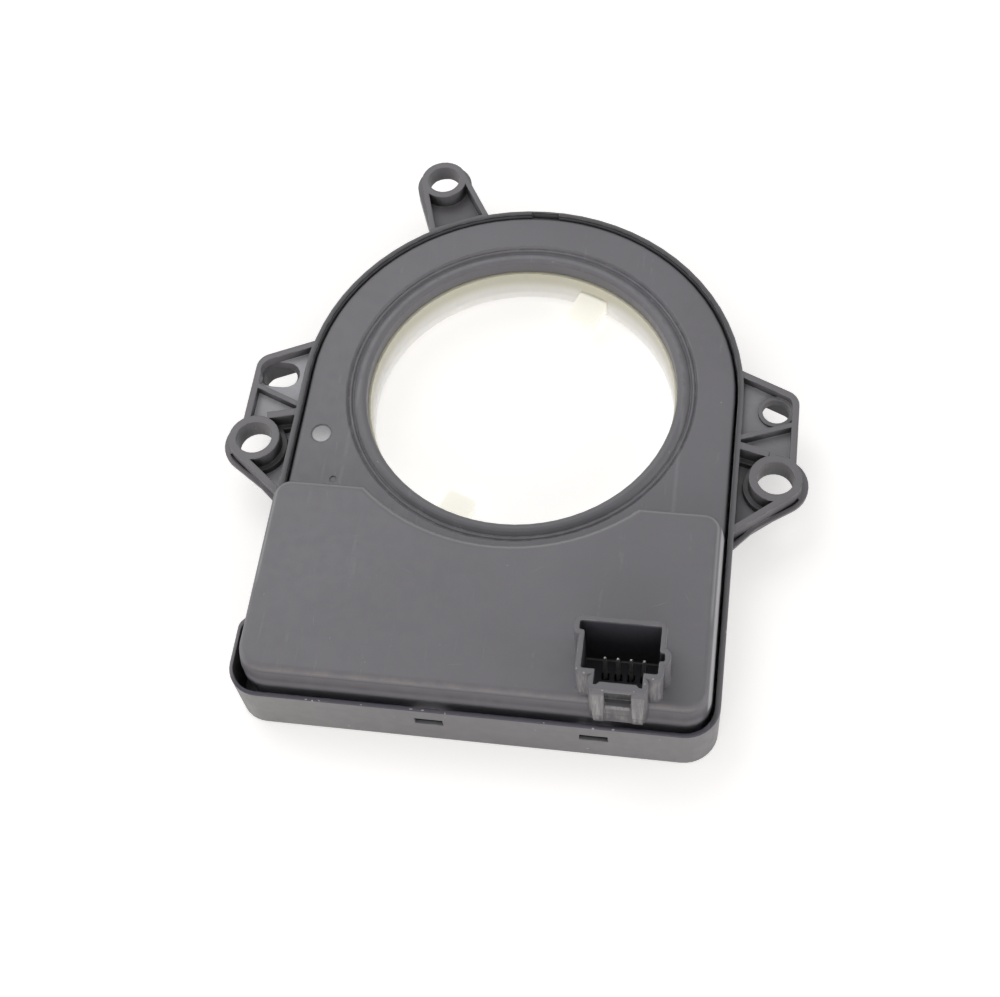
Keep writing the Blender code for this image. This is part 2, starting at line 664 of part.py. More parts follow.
def make_side_lug(name, edge_x, flange_end_y, flip, tray_core):
    """Solids to add to the housing and to cut from it, for one side lug."""
    turn = mirrored if flip else list
    sign = -1.0 if flip else 1.0
    boss = (sign * LUG_BOSS_X, LUG_BOSS_Y)
    floor_z = RIM_Z - LUG_FLOOR_DROP
    ledge_z = RIM_Z - LUG_LEDGE_DROP
    web_z = RIM_Z - LUG_WEB_DROP
    flange_z = RIM_Z - LUG_FLANGE_DROP
    boss_z = RIM_Z - LUG_HOLE_DEPTH
    above = RIM_Z + OVERCUT
    below = LUG_Z - OVERCUT
    root_x = RING_R - LUG_ROOT_DEPTH
    wall_x = RING_R - EMBED
    top = lug_tops(edge_x)
    flange = lug_flange(flange_end_y)
    flange_levels = [(flange_z - LUG_FLANGE_T, LUG_FLANGE_BEVEL),
                     (flange_z - LUG_FLANGE_T + LUG_FLANGE_BEVEL, 0.0), (flange_z, 0.0)]
    hole = upper_opening(flip)

    added = [
        prism(name + "_top", turn(top), LUG_Z, RIM_Z),
        solid(name + "_flange", turn(flange), flange_levels),
        disc(name + "_boss", LUG_BOSS_R, LUG_Z, RIM_Z, boss),
        solid(name + "_collar", circle(LUG_FLANGE_R, RING_STEPS // 2), flange_levels, boss)]

    brace = ((edge_x - EMBED, BRACE_OUTER_Y), (wall_x, BRACE_INNER_Y))
    stay = ((STAY_OUTER_X, STAY_OUTER_Y), (wall_x, STAY_INNER_Y))
    ledge_r = LUG_BOSS_R + LUG_LEDGE_W
    over_stay = [(root_x, STAY_INNER_Y, 0.0), (wall_x, STAY_INNER_Y, 0.0),
                 (STAY_OUTER_X, STAY_OUTER_Y, 0.0), (LUG_BOSS_X, LUG_BOSS_Y, 0.0),
                 (edge_x, LUG_BOSS_Y, 0.0), (edge_x, LUG_ROOT_Y, 0.0), (root_x, LUG_ROOT_Y, 0.0)]

    pocket = prism(name + "_pocket", turn(grow(top, -LUG_RIB_T)), floor_z, above)
    cut(pocket, [
        tray_core,
        disc(name + "_boss_kept", LUG_BOSS_R, below, above + OVERCUT, boss),
        disc(name + "_ledge_kept", ledge_r, below, ledge_z, boss, RING_STEPS // 2),
        prism(name + "_brace", turn(rib(*brace, BRACE_T)), below, above + OVERCUT),
        prism(name + "_stay", turn(rib(*stay, STAY_T)), below, above + OVERCUT),
        prism(name + "_stay_ledge", turn(rib(*stay, STAY_T + 2 * LUG_LEDGE_W)), below, ledge_z),
        prism(name + "_web", turn(over_stay), below, web_z)]
        + ([] if flip else [
            prism(name + "_ring", grow(hole, UPPER_RING_T), below, RIM_Z - UPPER_RING_DROP)]))

    gutter = prism(name + "_gutter", turn(grow(flange, -LUG_LIP_T)), flange_z - GUTTER_DEPTH, above)
    bend = [(0.0, 0.0, 0.0)] + arc(LUG_FLANGE_R - LUG_LIP_T, GUTTER_END, GUTTER_START, SMALL_STEPS // 2)
    bend = [(x + LUG_BOSS_X, y + LUG_BOSS_Y, r) for x, y, r in bend]
    join(gutter, [prism(name + "_gutter_bend", turn(bend), flange_z - GUTTER_DEPTH, above)])
    cut(gutter, [
        tray_core,
        prism(name + "_top_kept", turn(top), below, above + OVERCUT),
        disc(name + "_rim_kept", LUG_BOSS_R, below, above + OVERCUT, boss)])

    under = prism(name + "_under_pocket", turn(grow(over_stay, -EMBED)), below, web_z - LUG_WEB_T)
    cut(under, [
        tray_core,
        disc(name + "_under_kept", ledge_r, below - OVERCUT, RIM_Z, boss, RING_STEPS // 2),
        band(name + "_edge_kept", turn(top), LUG_RIB_T, below - OVERCUT, RIM_Z)])

    low = prism(name + "_low", turn(rectangle(root_x, edge_x + LUG_FLANGE_R, flange_end_y - OVERCUT,
                                              LUG_LOW_START_Y)), below, RIM_Z - LUG_LOW_H)
    cut(low, [tray_core])

    removed = [
        pocket, gutter, under, low,
        disc(name + "_hole", LUG_HOLE_R, below, above, boss),
        disc(name + "_under_boss", LUG_UNDER_R, below, boss_z, boss),
        prism(name + "_upper_hole", hole, below, above)]
    if flip:
        removed.append(solid(name + "_funnel", grow(hole, SLOT_FUNNEL_W), [
            (web_z - SLOT_FUNNEL_DEPTH, SLOT_FUNNEL_W), (web_z + FINEST_R, 0.0)]))
    return added, removed


def make_rear_lug(tray_core):
    """Solids to add to the housing and to cut from it, for the rear lug."""
    boss = polar(REAR_BOSS_DISTANCE, REAR_BOSS_ANGLE)
    right_root = polar(REAR_ROOT_R, REAR_RIGHT_ROOT_ANGLE)
    left_root = polar(REAR_ROOT_R, REAR_LEFT_ROOT_ANGLE)
    right_touch = tangent_point(right_root, boss, REAR_BOSS_R)
    left_touch = tangent_point(left_root, boss, REAR_BOSS_R, -1)
    top = [(*right_root, 0.0), (*right_touch, 0.0), (*left_touch, 0.0), (*left_root, 0.0)]
    flange = [(*tangent_point(left_root, boss, REAR_FLANGE_R, -1), 0.0), (*left_root, 0.0),
              (*right_root, 0.0), (*boss, 0.0)]
    flange_z = RIM_Z - REAR_FLANGE_DROP
    base_z = RIM_Z - REAR_LUG_H
    above = RIM_Z + OVERCUT
    below = base_z - OVERCUT
    added = [
        prism("rear_lug_top", top, base_z, RIM_Z),
        prism("rear_lug_flange", flange, base_z, flange_z),
        disc("rear_lug_boss", REAR_BOSS_R, base_z, RIM_Z, boss),
        disc("rear_lug_collar", REAR_FLANGE_R, base_z, flange_z, boss, RING_STEPS // 2)]
    pocket = prism("rear_lug_pocket", grow(top, -REAR_RIB_T), RIM_Z - REAR_WEB_DROP, above)
    cut(pocket, [
        tray_core,
        disc("rear_lug_boss_kept", REAR_BOSS_R, below, above + OVERCUT, boss)])
    relief = solid("rear_lug_relief", circle(REAR_HOLE_R + REAR_RELIEF_T, BOSS_STEPS), [
        (base_z - FINEST_R, 0.0),
        (RIM_Z - REAR_HOLE_DEPTH + EMBED, REAR_RELIEF_T + EMBED)], boss)
    return added, [pocket, relief, disc("rear_lug_hole", REAR_HOLE_R, below, above, boss)]


def standoffs():
    """Places of the posts under the board: three along the front and two beside the bore."""
    side = RING_R - STANDOFF_INSET
    front = FRONT_Y + STANDOFF_FRONT_INSET
    return [(-side, front), (0.0, front), (side, front), (-side, STANDOFF_REAR_Y),
            (side, STANDOFF_REAR_Y)]


def front_window(name, x):
    top = RIM_Z - WINDOW_TOP_DROP
    return block(name, x - WINDOW_W / 2, x + WINDOW_W / 2, FRONT_Y - OVERCUT,
                 FRONT_Y + FRONT_WALL_T + OVERCUT, top - WINDOW_H, top)


def make_housing():
    edge = RIM_EDGE_R
    levels = [(0.0, BASE_EDGE_R), (BASE_EDGE_R, 0.0), (RIM_Z - edge, 0.0),
              (RIM_Z - edge * ROUNDING_SHARE, edge * ROUNDING_SHARE), (RIM_Z, edge)]
    outline = stepped_plan(0.0, 0.0, LEFT_STEP, LEFT_STEP_Y)
    hollow = stepped_plan(WALL_T, FRONT_WALL_T, LEFT_STEP + WALL_T - FRONT_WALL_T,
                          LEFT_STEP_Y - LEFT_STEP_LAG)
    housing = solid("housing", outline, levels)
    tray_core = prism("tray_core", outline, -OVERCUT, RIM_Z + 3 * OVERCUT)
    added, removed = make_rear_lug(tray_core)
    for name, edge_x, end_y, flip in (
            ("right_lug", LUG_EDGE_RIGHT_X, FLANGE_END_RIGHT_Y, False),
            ("left_lug", -LUG_EDGE_LEFT_X, FLANGE_END_LEFT_Y, True)):
        more_added, more_removed = make_side_lug(name, edge_x, end_y, flip, tray_core)
        added += more_added
        removed += more_removed
    join(housing, added)
    cut(housing, [prism("tray_hollow", hollow, FLOOR_T, RIM_Z + OVERCUT)])

    inner = [disc("rotor_track", ROTOR_HOLE_R + TRACK_T, FLOOR_T - EMBED, FLANGE_Z - GAP,
                  steps=RING_STEPS)]
    for index, place in enumerate(standoffs()):
        inner.append(disc(f"standoff_{index}", STANDOFF_R, FLOOR_T - EMBED,
                          FLOOR_T + STANDOFF_H, place, SMALL_STEPS))
    join(housing, inner)

    removed += [
        disc("rotor_hole", ROTOR_HOLE_R, -OVERCUT, RIM_Z, steps=RING_STEPS),
        front_window("left_window", WINDOW_LEFT_X),
        front_window("right_window", WINDOW_RIGHT_X),
        block("rim_notch", NOTCH_X - NOTCH_W / 2, NOTCH_X + NOTCH_W / 2,
              RING_R - WALL_T - OVERCUT, RING_R - NOTCH_SKIN, RIM_Z - NOTCH_DEPTH,
              RIM_Z + OVERCUT)]
    cut(housing, removed)
    finish(housing, PLASTIC, PLASTIC_ROUGHNESS)


# Cover

def cavity_outline():
    """Inside of the connector shroud, without its key channel."""
    r = CAVITY_CORNER_R
    left_ear = CAVITY_LEFT_X - LEFT_EAR_DEPTH
    right_ear = CAVITY_RIGHT_X + RIGHT_EAR_DEPTH
    return [(CAVITY_LEFT_X, CAVITY_FRONT_Y, r), (CAVITY_RIGHT_X, CAVITY_FRONT_Y, r),
            (CAVITY_RIGHT_X, RIGHT_EAR_FRONT_Y, r), (right_ear, RIGHT_EAR_FRONT_Y, r),
            (right_ear, RIGHT_EAR_REAR_Y, r), (CAVITY_RIGHT_X, RIGHT_EAR_REAR_Y, r),
            (CAVITY_RIGHT_X, CAVITY_REAR_Y, r), (left_ear, CAVITY_REAR_Y, r),
            (left_ear, LEFT_EAR_Y, r), (CAVITY_LEFT_X, LEFT_EAR_Y, r)]


def key_channel():
    """Inside of the key channel, with a pad along the middle of its front wall."""
    pad_y = KEY_FRONT_Y + KEY_PAD_T
    pad_left = KEY_LEFT_X + KEY_PAD_MARGIN
    pad_right = KEY_RIGHT_X - KEY_PAD_MARGIN
    return [(KEY_LEFT_X, KEY_FRONT_Y, 0.0), (pad_left - KEY_PAD_T, KEY_FRONT_Y, 0.0),
            (pad_left, pad_y, 0.0), (pad_right, pad_y, 0.0),
            (pad_right + KEY_PAD_T, KEY_FRONT_Y, 0.0), (KEY_RIGHT_X, KEY_FRONT_Y, 0.0),
            (KEY_RIGHT_X, CAVITY_FRONT_Y + OVERCUT, 0.0),
            (KEY_LEFT_X, CAVITY_FRONT_Y + OVERCUT, 0.0)]


def terminal_x(index):
    return TERMINAL_X + (index - (TERMINAL_COUNT - 1) / 2) * TERMINAL_PITCH


def edge_groove():
    """Air above the bore's edge: its bead, two fine grooves and the ridge between them."""
    top = COVER_Z
    outer = BORE_R + BEAD_W
    profile = [(BORE_R - OVERCUT, top + OVERCUT), (BORE_R - OVERCUT, top - BEAD_STEPS[0][1] * MM)]
    for share, depth in BEAD_STEPS:
        profile.append((BORE_R + share * BEAD_W, top - depth * MM))
    profile.append((outer, top + OVERCUT))
    return turned("bore_edge", profile, RING_STEPS)


def make_shroud_solids():
    """Connector shroud, its key channel, two buttresses and the latch nose between them."""
    wall = SHROUD_WALL_T
    edge = COVER_EDGE_R
    bump = rectangle(KEY_LEFT_X - wall, KEY_RIGHT_X + wall, SHROUD_FACE_Y,
                     CAVITY_FRONT_Y - wall / 2, wall + CAVITY_CORNER_R)
    solids = [
        solid("shroud", grow(cavity_outline(), wall), [
            (SHROUD_FLOOR_Z - SHROUD_FLOOR_T, 0.0), (SHROUD_Z - edge, 0.0),
            (SHROUD_Z, edge / 2)]),
        solid("key_bump", bump, [
            (KEY_BOTTOM_Z, 0.0), (SHROUD_Z - edge, 0.0), (SHROUD_Z, edge / 2)])]
    front = SHROUD_FACE_Y - BUTTRESS_PROUD
    back = SHROUD_FACE_Y + EMBED
    foot_z = KEY_BOTTOM_Z + BUTTRESS_FOOT_H
    for index, x in enumerate((BUTTRESS_LEFT_X, BUTTRESS_RIGHT_X)):
        profile = []
        for y, z in ((back, SHROUD_Z - edge), (front, SHROUD_Z - 3 * edge), (front, foot_z),
                     (SHROUD_FACE_Y - EMBED, KEY_BOTTOM_Z + edge), (back, KEY_BOTTOM_Z + edge)):
            share = (z - KEY_BOTTOM_Z) / (SHROUD_Z - KEY_BOTTOM_Z)
            profile.append((y, z, (BUTTRESS_FOOT_W + (BUTTRESS_W - BUTTRESS_FOOT_W) * share) / 2))
        solids.append(slab(f"buttress_{index}", profile, x))
    left = BUTTRESS_LEFT_X + BUTTRESS_W / 2 + NOSE_GAP
    right = BUTTRESS_RIGHT_X - BUTTRESS_W / 2 - NOSE_GAP
    half = (right - left) / 2
    nose_y = SHROUD_FACE_Y - NOSE_PROUD
    profile = [(back, NOSE_Z, half), (nose_y, NOSE_Z, half), (nose_y, NOSE_Z - NOSE_H, half),
               (back, NOSE_Z - NOSE_H - NOSE_PROUD, half)]
    solids.append(slab("latch_nose", profile, (left + right) / 2))
    return solids


def make_cover():
    inset = WALL_T + COVER_GAP
    front_inset = FRONT_WALL_T + COVER_FRONT_GAP
    edge = COVER_EDGE_R
    outline = plan(inset, front_inset)
    cover = solid("cover", outline, [
        (COVER_UNDER_Z, 0.0), (COVER_Z - edge, 0.0),
        (COVER_Z - edge * ROUNDING_SHARE, edge * ROUNDING_SHARE), (COVER_Z, edge)])
    side_inset = inset - FINEST_R
    rear = (BOX_REAR_Y, BOX_ARC_R, BOX_REAR_CORNER_R, BOX_ARC_CORNER_R)
    box = chamber(side_inset, front_inset - FINEST_R, *rear, BOX_OVERHANG)
    inner_box = chamber(side_inset, front_inset - FINEST_R, *rear)
    levels = [(COVER_UNDER_Z, 0.0), (COVER_Z, 0.0)]
    for step in range(FILLET_STEPS + 1):
        angle = math.pi / 2 * step / FILLET_STEPS
        levels.append((BOX_Z - BOX_EDGE_R * (1.0 - math.sin(angle)),
                       BOX_DRAFT + BOX_EDGE_R * (1.0 - math.cos(angle))))
    raised_box = solid("raised_box", box, levels)
    cut(raised_box, [block("box_relief", -RING_R - BOX_OVERHANG, side_inset - RING_R,
                           FRONT_Y, BOX_REAR_Y + OVERCUT, COVER_UNDER_Z - OVERCUT, RIM_Z + GAP)])
    join(cover, [raised_box])
    cut(cover, [solid("box_hollow", grow(inner_box, -BOX_WALL_T), [
        (COVER_UNDER_Z - OVERCUT, 0.0), (BOX_Z - BOX_WALL_T, BOX_DRAFT)])])

    skirt_z = BOARD_TOP_Z + GAP
    added = [
        band("skirt", grow(outline, -FINEST_R), SKIRT_T, skirt_z, COVER_UNDER_Z + EMBED),
        disc("lip", BORE_R + LIP_T, LIP_Z, COVER_UNDER_Z + EMBED, steps=RING_STEPS)]
    added += make_shroud_solids()
    for name, angle, distance in (("post_a", GEAR_A_ANGLE, GEAR_A_DISTANCE),
                                  ("post_b", GEAR_B_ANGLE, GEAR_B_DISTANCE)):
        added.append(disc(name, POST_R, POCKET_TOP_Z + GEAR_WEB_T + GAP,
                          BOX_Z - BOX_WALL_T + EMBED, polar(distance, angle), SMALL_STEPS))
    window_top = RIM_Z - WINDOW_TOP_DROP
    added.append(block("hook", WINDOW_RIGHT_X - HOOK_W / 2, WINDOW_RIGHT_X + HOOK_W / 2,
                       FRONT_Y + HOOK_SETBACK, FRONT_Y + front_inset + SKIRT_T / 2,
                       window_top - GAP - HOOK_H, window_top - GAP))
    join(cover, added)

    removed = [
        disc("bore", BORE_R, LIP_Z - OVERCUT, COVER_Z + OVERCUT, steps=RING_STEPS),
        edge_groove(),
        prism("cavity", cavity_outline(), SHROUD_FLOOR_Z, SHROUD_Z + OVERCUT),
        prism("key_channel", key_channel(), KEY_BOTTOM_Z + KEY_FLOOR_T, SHROUD_Z + OVERCUT),
        disc("witness", WITNESS_R, COVER_Z - WITNESS_DEPTH, COVER_Z + OVERCUT,
             (WITNESS_X, WITNESS_Y)),
        disc("dimple", DIMPLE_R, COVER_Z - WITNESS_DEPTH, COVER_Z + OVERCUT,
             (DIMPLE_X, DIMPLE_Y), SMALL_STEPS),
        block("latch_recess", BUTTRESS_LEFT_X + BUTTRESS_W / 2, BUTTRESS_RIGHT_X - BUTTRESS_W / 2,
              SHROUD_FACE_Y - OVERCUT, SHROUD_FACE_Y + LATCH_RECESS_DEPTH, NOSE_Z, LIP_BOTTOM_Z)]
    for index in range(TERMINAL_COUNT):
        half = TERMINAL_W / 2 + GAP
        x = terminal_x(index)
        removed.append(block(f"pin_hole_{index}", x - half, x + half, TERMINAL_Y - half,
                             TERMINAL_Y + half, SHROUD_FLOOR_Z - SHROUD_FLOOR_T - OVERCUT,
                             SHROUD_FLOOR_Z + OVERCUT))
    cut(cover, removed)
    finish(cover, PLASTIC, PLASTIC_ROUGHNESS)


# Rotor and gears

def make_rotor():
    rotor = prism("rotor", gear_outline(ROTOR_TEETH), FLANGE_Z, ROTOR_TOP_Z)
    join(rotor, [disc("rotor_tube", ROTOR_OUTER_R, ROTOR_BOTTOM_Z, FLANGE_Z + EMBED,
                      steps=RING_STEPS)])
    cut(rotor, [disc("rotor_bore", ROTOR_INNER_R, ROTOR_BOTTOM_Z - OVERCUT,
                     ROTOR_TOP_Z + OVERCUT, steps=RING_STEPS)])
    tabs = []
    for index, angle in enumerate((TAB_ANGLE, TAB_ANGLE + 180.0)):
        outline = rectangle(ROTOR_INNER_R - TAB_REACH, ROTOR_INNER_R + ROTOR_T / 2, -TAB_W / 2,
                            TAB_W / 2)
        outline[0] = outline[0][:2] + (TAB_CORNER_R,)
        outline[3] = outline[3][:2] + (TAB_CORNER_R,)
        tab = prism(f"tab_{index}", outline, TAB_BOTTOM_Z, TAB_BOTTOM_Z + TAB_H)
        tab.rotation_euler = (0.0, 0.0, math.radians(angle))
        tabs.append(tab)
    join(rotor, tabs)
    finish(rotor, ROTOR_COLOUR, 0.35, alpha=0.85)


def make_gear(letter, teeth, angle, distance):
    """One counting gear with its hub, and the magnet in its underside."""
    centre = polar(distance, angle)
    web_top = POCKET_TOP_Z + GEAR_WEB_T
    gear = prism("gear_" + letter, gear_outline(teeth, meshing_angle(angle, teeth)),
                 GEAR_Z, GEAR_TOP_Z, centre)
    join(gear, [
        disc(f"gear_{letter}_boss", MAGNET_R + GAP + GEAR_BOSS_T, GEAR_TOP_Z - EMBED, web_top, centre),
        disc(f"gear_{letter}_hub", GEAR_HUB_R, web_top - EMBED, web_top + GEAR_HUB_H, centre,
             SMALL_STEPS)])
    cut(gear, [
        disc(f"gear_{letter}_pocket", MAGNET_R + GAP, GEAR_Z - OVERCUT, POCKET_TOP_Z, centre),
        disc(f"gear_{letter}_bore", POST_R + GAP, web_top, web_top + GEAR_HUB_H + OVERCUT,
             centre, SMALL_STEPS)])
    finish(gear, GEAR_COLOUR, 0.4)
    magnet = disc("magnet_" + letter, MAGNET_R, GEAR_Z, GEAR_Z + MAGNET_T, centre)
    finish(magnet, MAGNET_COLOUR, 0.3, 1.0)


# Circuit board and its parts

def retainer_legs():
    """Places of the legs: one beside each gear and two on the bar between them."""
    centre_a = polar(GEAR_A_DISTANCE, GEAR_A_ANGLE)
    centre_b = polar(GEAR_B_DISTANCE, GEAR_B_ANGLE)
    reach = (RETAINER_HOLE_R + RETAINER_PAD_R) / 2
    places = [polar(reach, LEG_ANGLES[0], centre_a), polar(reach, LEG_ANGLES[1], centre_b)]
    for share in LEG_SHARES:
        places.append((centre_a[0] + (centre_b[0] - centre_a[0]) * share,
                       centre_a[1] + (centre_b[1] - centre_a[1]) * share))
    return places


def make_retainer():
    centre_a = polar(GEAR_A_DISTANCE, GEAR_A_ANGLE)
    centre_b = polar(GEAR_B_DISTANCE, GEAR_B_ANGLE)
    top = RETAINER_Z + RETAINER_T
    bar = rib(centre_a, centre_b, RETAINER_BAR_W)
    retainer = prism("gear_retainer", bar, RETAINER_Z, top)
    added = [disc("pad_a", RETAINER_PAD_R, RETAINER_Z, top, centre_a),
             disc("pad_b", RETAINER_PAD_R, RETAINER_Z, top, centre_b)]
    for index, place in enumerate(retainer_legs()):
        added.append(disc(f"leg_{index}", LEG_R, FLOOR_T + GAP, RETAINER_Z + EMBED, place,
                          SMALL_STEPS))
    join(retainer, added)
    cut(retainer, [
        disc("eye_a", RETAINER_HOLE_R, RETAINER_Z - OVERCUT, top + OVERCUT, centre_a),
        disc("eye_b", RETAINER_HOLE_R, RETAINER_Z - OVERCUT, top + OVERCUT, centre_b)])
    finish(retainer, GEAR_COLOUR, 0.5)


def make_board():
    inset = WALL_T + BOARD_EDGE_GAP
    board = prism("circuit_board", chamber(inset, inset, BOARD_REAR_Y, BOARD_ARC_R,
                                           BOARD_CORNER_R, BOARD_ARC_CORNER_R),
                  BOARD_Z, BOARD_TOP_Z)
    holes = []
    for index in range(TERMINAL_COUNT):
        half = TERMINAL_W / 2 + GAP
        x = terminal_x(index)
        holes.append(block(f"board_pin_hole_{index}", x - half, x + half, TERMINAL_Y - half,
                           TERMINAL_Y + half, BOARD_Z - OVERCUT, BOARD_TOP_Z + OVERCUT))
    for index, place in enumerate(retainer_legs()):
        holes.append(disc(f"board_leg_hole_{index}", LEG_R + GAP, BOARD_Z - OVERCUT,
                          BOARD_TOP_Z + OVERCUT, place, SMALL_STEPS))
    cut(board, holes)
    finish(board, BOARD_COLOUR, 0.45)


def make_chip(name, centre, length, width, leads):
    """Moulded chip with a row of flat leads along both long sides."""
    x_low, x_high = -length / 2 + FINEST_R, length / 2 - FINEST_R
    y_low, y_high = -width / 2 + FINEST_R, width / 2 - FINEST_R
    places = [(index + 0.5) / leads * length - length / 2 for index in range(leads)]
    comb = [(x_low, y_low, 0.0)]
    for x in places:
        comb += [(x - LEAD_W / 2, y_low, 0.0), (x - LEAD_W / 2, y_low - LEAD_L, 0.0),
                 (x + LEAD_W / 2, y_low - LEAD_L, 0.0), (x + LEAD_W / 2, y_low, 0.0)]
    comb += [(x_high, y_low, 0.0), (x_high, y_high, 0.0)]
    for x in reversed(places):
        comb += [(x + LEAD_W / 2, y_high, 0.0), (x + LEAD_W / 2, y_high + LEAD_L, 0.0),
                 (x - LEAD_W / 2, y_high + LEAD_L, 0.0), (x - LEAD_W / 2, y_high, 0.0)]
    comb.append((x_low, y_high, 0.0))
    chip = prism(name, comb, PART_Z, PART_Z + LEAD_T, centre)
    body = solid(name + "_body", rectangle(-length / 2, length / 2, -width / 2, width / 2),
                 [(PART_Z + LEAD_T / 2, 0.0), (PART_Z + CHIP_T, CHIP_TAPER)], centre)
    join(chip, [body])
    finish(chip, CHIP_COLOUR, 0.5)


def make_block_part(name, centre, width, height, colour, roughness=0.5, metallic=0.0):
    outline = rectangle(-BLOCK_L / 2, BLOCK_L / 2, -width / 2, width / 2)
    edge = height * BLOCK_EDGE_SHARE
    piece = solid(name, outline, [(PART_Z, 0.0), (PART_Z + height - edge, 0.0),
                                  (PART_Z + height, edge)], centre)
    finish(piece, colour, roughness, metallic)


def on_board(place):
    return place[0] * MM, FRONT_Y + place[1] * MM


def make_electronics():
    make_chip("sensor_chip_a", polar(GEAR_A_DISTANCE, GEAR_A_ANGLE), CHIP_L, CHIP_W, CHIP_LEAD_COUNT)
    make_chip("sensor_chip_b", polar(GEAR_B_DISTANCE, GEAR_B_ANGLE), CHIP_L, CHIP_W, CHIP_LEAD_COUNT)
    make_chip("microcontroller", on_board(CONTROLLER_PLACE), CONTROLLER_L, CONTROLLER_W,
              CONTROLLER_LEAD_COUNT)
    make_chip("bus_transceiver", on_board(TRANSCEIVER_PLACE), CHIP_L, CHIP_W, CHIP_LEAD_COUNT)
    make_chip("voltage_regulator", on_board(REGULATOR_PLACE), CHIP_L, CHIP_W, CHIP_LEAD_COUNT)
    make_block_part("crystal", on_board(CRYSTAL_PLACE), CRYSTAL_W, CRYSTAL_T, METAL, 0.3, 1.0)
    for index, place in enumerate(CAPACITOR_PLACES):
        make_block_part(f"capacitor_{index + 1}", on_board(place), BLOCK_W, CAPACITOR_T,
                        CAPACITOR_COLOUR)
    for index, place in enumerate(RESISTOR_PLACES):
        make_block_part(f"resistor_{index + 1}", on_board(place), BLOCK_W, RESISTOR_T, CHIP_COLOUR)


def make_terminals():
    outline = rectangle(-TERMINAL_W / 2, TERMINAL_W / 2, -TERMINAL_W / 2, TERMINAL_W / 2)
    for index in range(TERMINAL_COUNT):
        terminal = solid(f"terminal_{index + 1}", outline, [
            (FLOOR_T + GAP, 0.0), (TERMINAL_TOP_Z - TERMINAL_TIP_H, 0.0),
            (TERMINAL_TOP_Z, TERMINAL_TIP_INSET)], (terminal_x(index), TERMINAL_Y))
        finish(terminal, TERMINAL_COLOUR, 0.3, 1.0)


def main():
    clear_scene()
    make_frame()
    make_housing()
    make_cover()
    make_rotor()
    make_gear("a", GEAR_A_TEETH, GEAR_A_ANGLE, GEAR_A_DISTANCE)
    make_gear("b", GEAR_B_TEETH, GEAR_B_ANGLE, GEAR_B_DISTANCE)
    make_retainer()
    make_board()
    make_electronics()
    make_terminals()


main()
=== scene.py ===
"""Looks of the steering angle sensor: camera, light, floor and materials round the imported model."""
import math

import bpy
from mathutils import Matrix, Vector

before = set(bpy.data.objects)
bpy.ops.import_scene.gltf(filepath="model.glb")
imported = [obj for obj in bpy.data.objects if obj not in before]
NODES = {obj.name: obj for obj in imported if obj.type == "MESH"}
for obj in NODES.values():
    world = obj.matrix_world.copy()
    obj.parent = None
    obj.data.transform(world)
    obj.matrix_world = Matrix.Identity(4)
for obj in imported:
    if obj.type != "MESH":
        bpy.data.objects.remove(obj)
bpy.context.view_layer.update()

MM = 0.001

# Camera, with the axes of its frame: right, up and back
CAMERA_PLACE = (0.036473, -0.158635, 0.265706)
CAMERA_RIGHT = (0.98863, 0.13262, -0.07085)
CAMERA_UP = (-0.08094, 0.86650, 0.49258)
CAMERA_BACK = (0.12672, -0.48124, 0.86739)
CAMERA_LENS = 58.965
CAMERA_SENSOR = 36.0

# Floor and light; a lamp is its name, place, size, power and colour
FLOOR_Z = -0.05 * MM
FLOOR_HALF = 1.5
FLOOR_LIGHT = (0.86, 0.845, 0.83)
FLOOR_DARK = (0.845, 0.83, 0.815)
FLOOR_GLOW = 0.44
FLOOR_FADE = (0.35, 1.1)
WORLD_COLOUR = (1.0, 0.995, 0.985)
WORLD_STRENGTH = 0.45
LAMPS = [
    ("key", (-0.4, 0.45, 0.85), 0.7, 2.7, (0.995, 0.99, 1.0)),
    ("fill", (0.0, -1.0, 0.26), 0.9, 4.8, (1.0, 0.97, 0.94)),
    ("right", (0.95, -0.05, 0.28), 0.7, 2.6, (1.0, 0.99, 0.985)),
    ("left", (-0.95, 0.1, 0.28), 0.7, 2.0, (1.0, 0.99, 0.985))]

# The bore's axis, and regions that the materials pick out, all in millimetres
BORE_Y = 6.62
LUG_START_X = (41.2, 41.6)
LUG_LOW_FLOOR_Z = (7.3, 8.3)
LUG_FLOOR_Z = (9.9, 10.7)
LUG_STEP_Z = (8.8, 9.5)
RIM_TOP_Z = (11.6, 11.8)
CONNECTOR_X = (15.5, 33.5)
CONNECTOR_Y = (-58.2, -45.4)
CAVITY_X = (17.2, 31.6)
CAVITY_Y = (-54.75, -46.25)
CAVITY_TOP_Z = (24.9, 24.5)
CHANNEL_X = (20.4, 28.45)
CHANNEL_Y = (-57.4, -54.6)
LATCH_X = (22.35, 26.7)
BOX_FOOT_Z = (12.6, 12.9)
BOX_FRONT_Y = (-55.5, -57.0)

# The rotor: where its top and foot fade, where the tabs start, and the strength of the painted glow
# that stands in for light through them
ROTOR_TOP_Z = (3.2, 6.5)
ROTOR_FOOT_Z = (3.4, 0.6)
TAB_R = (28.5, 27.8)
FOOT_PAINTED_GLOW = 0.19
TAB_PAINTED_GLOW = 0.38
ROTOR_TOP_COLOUR = (0.66, 0.64, 0.53)
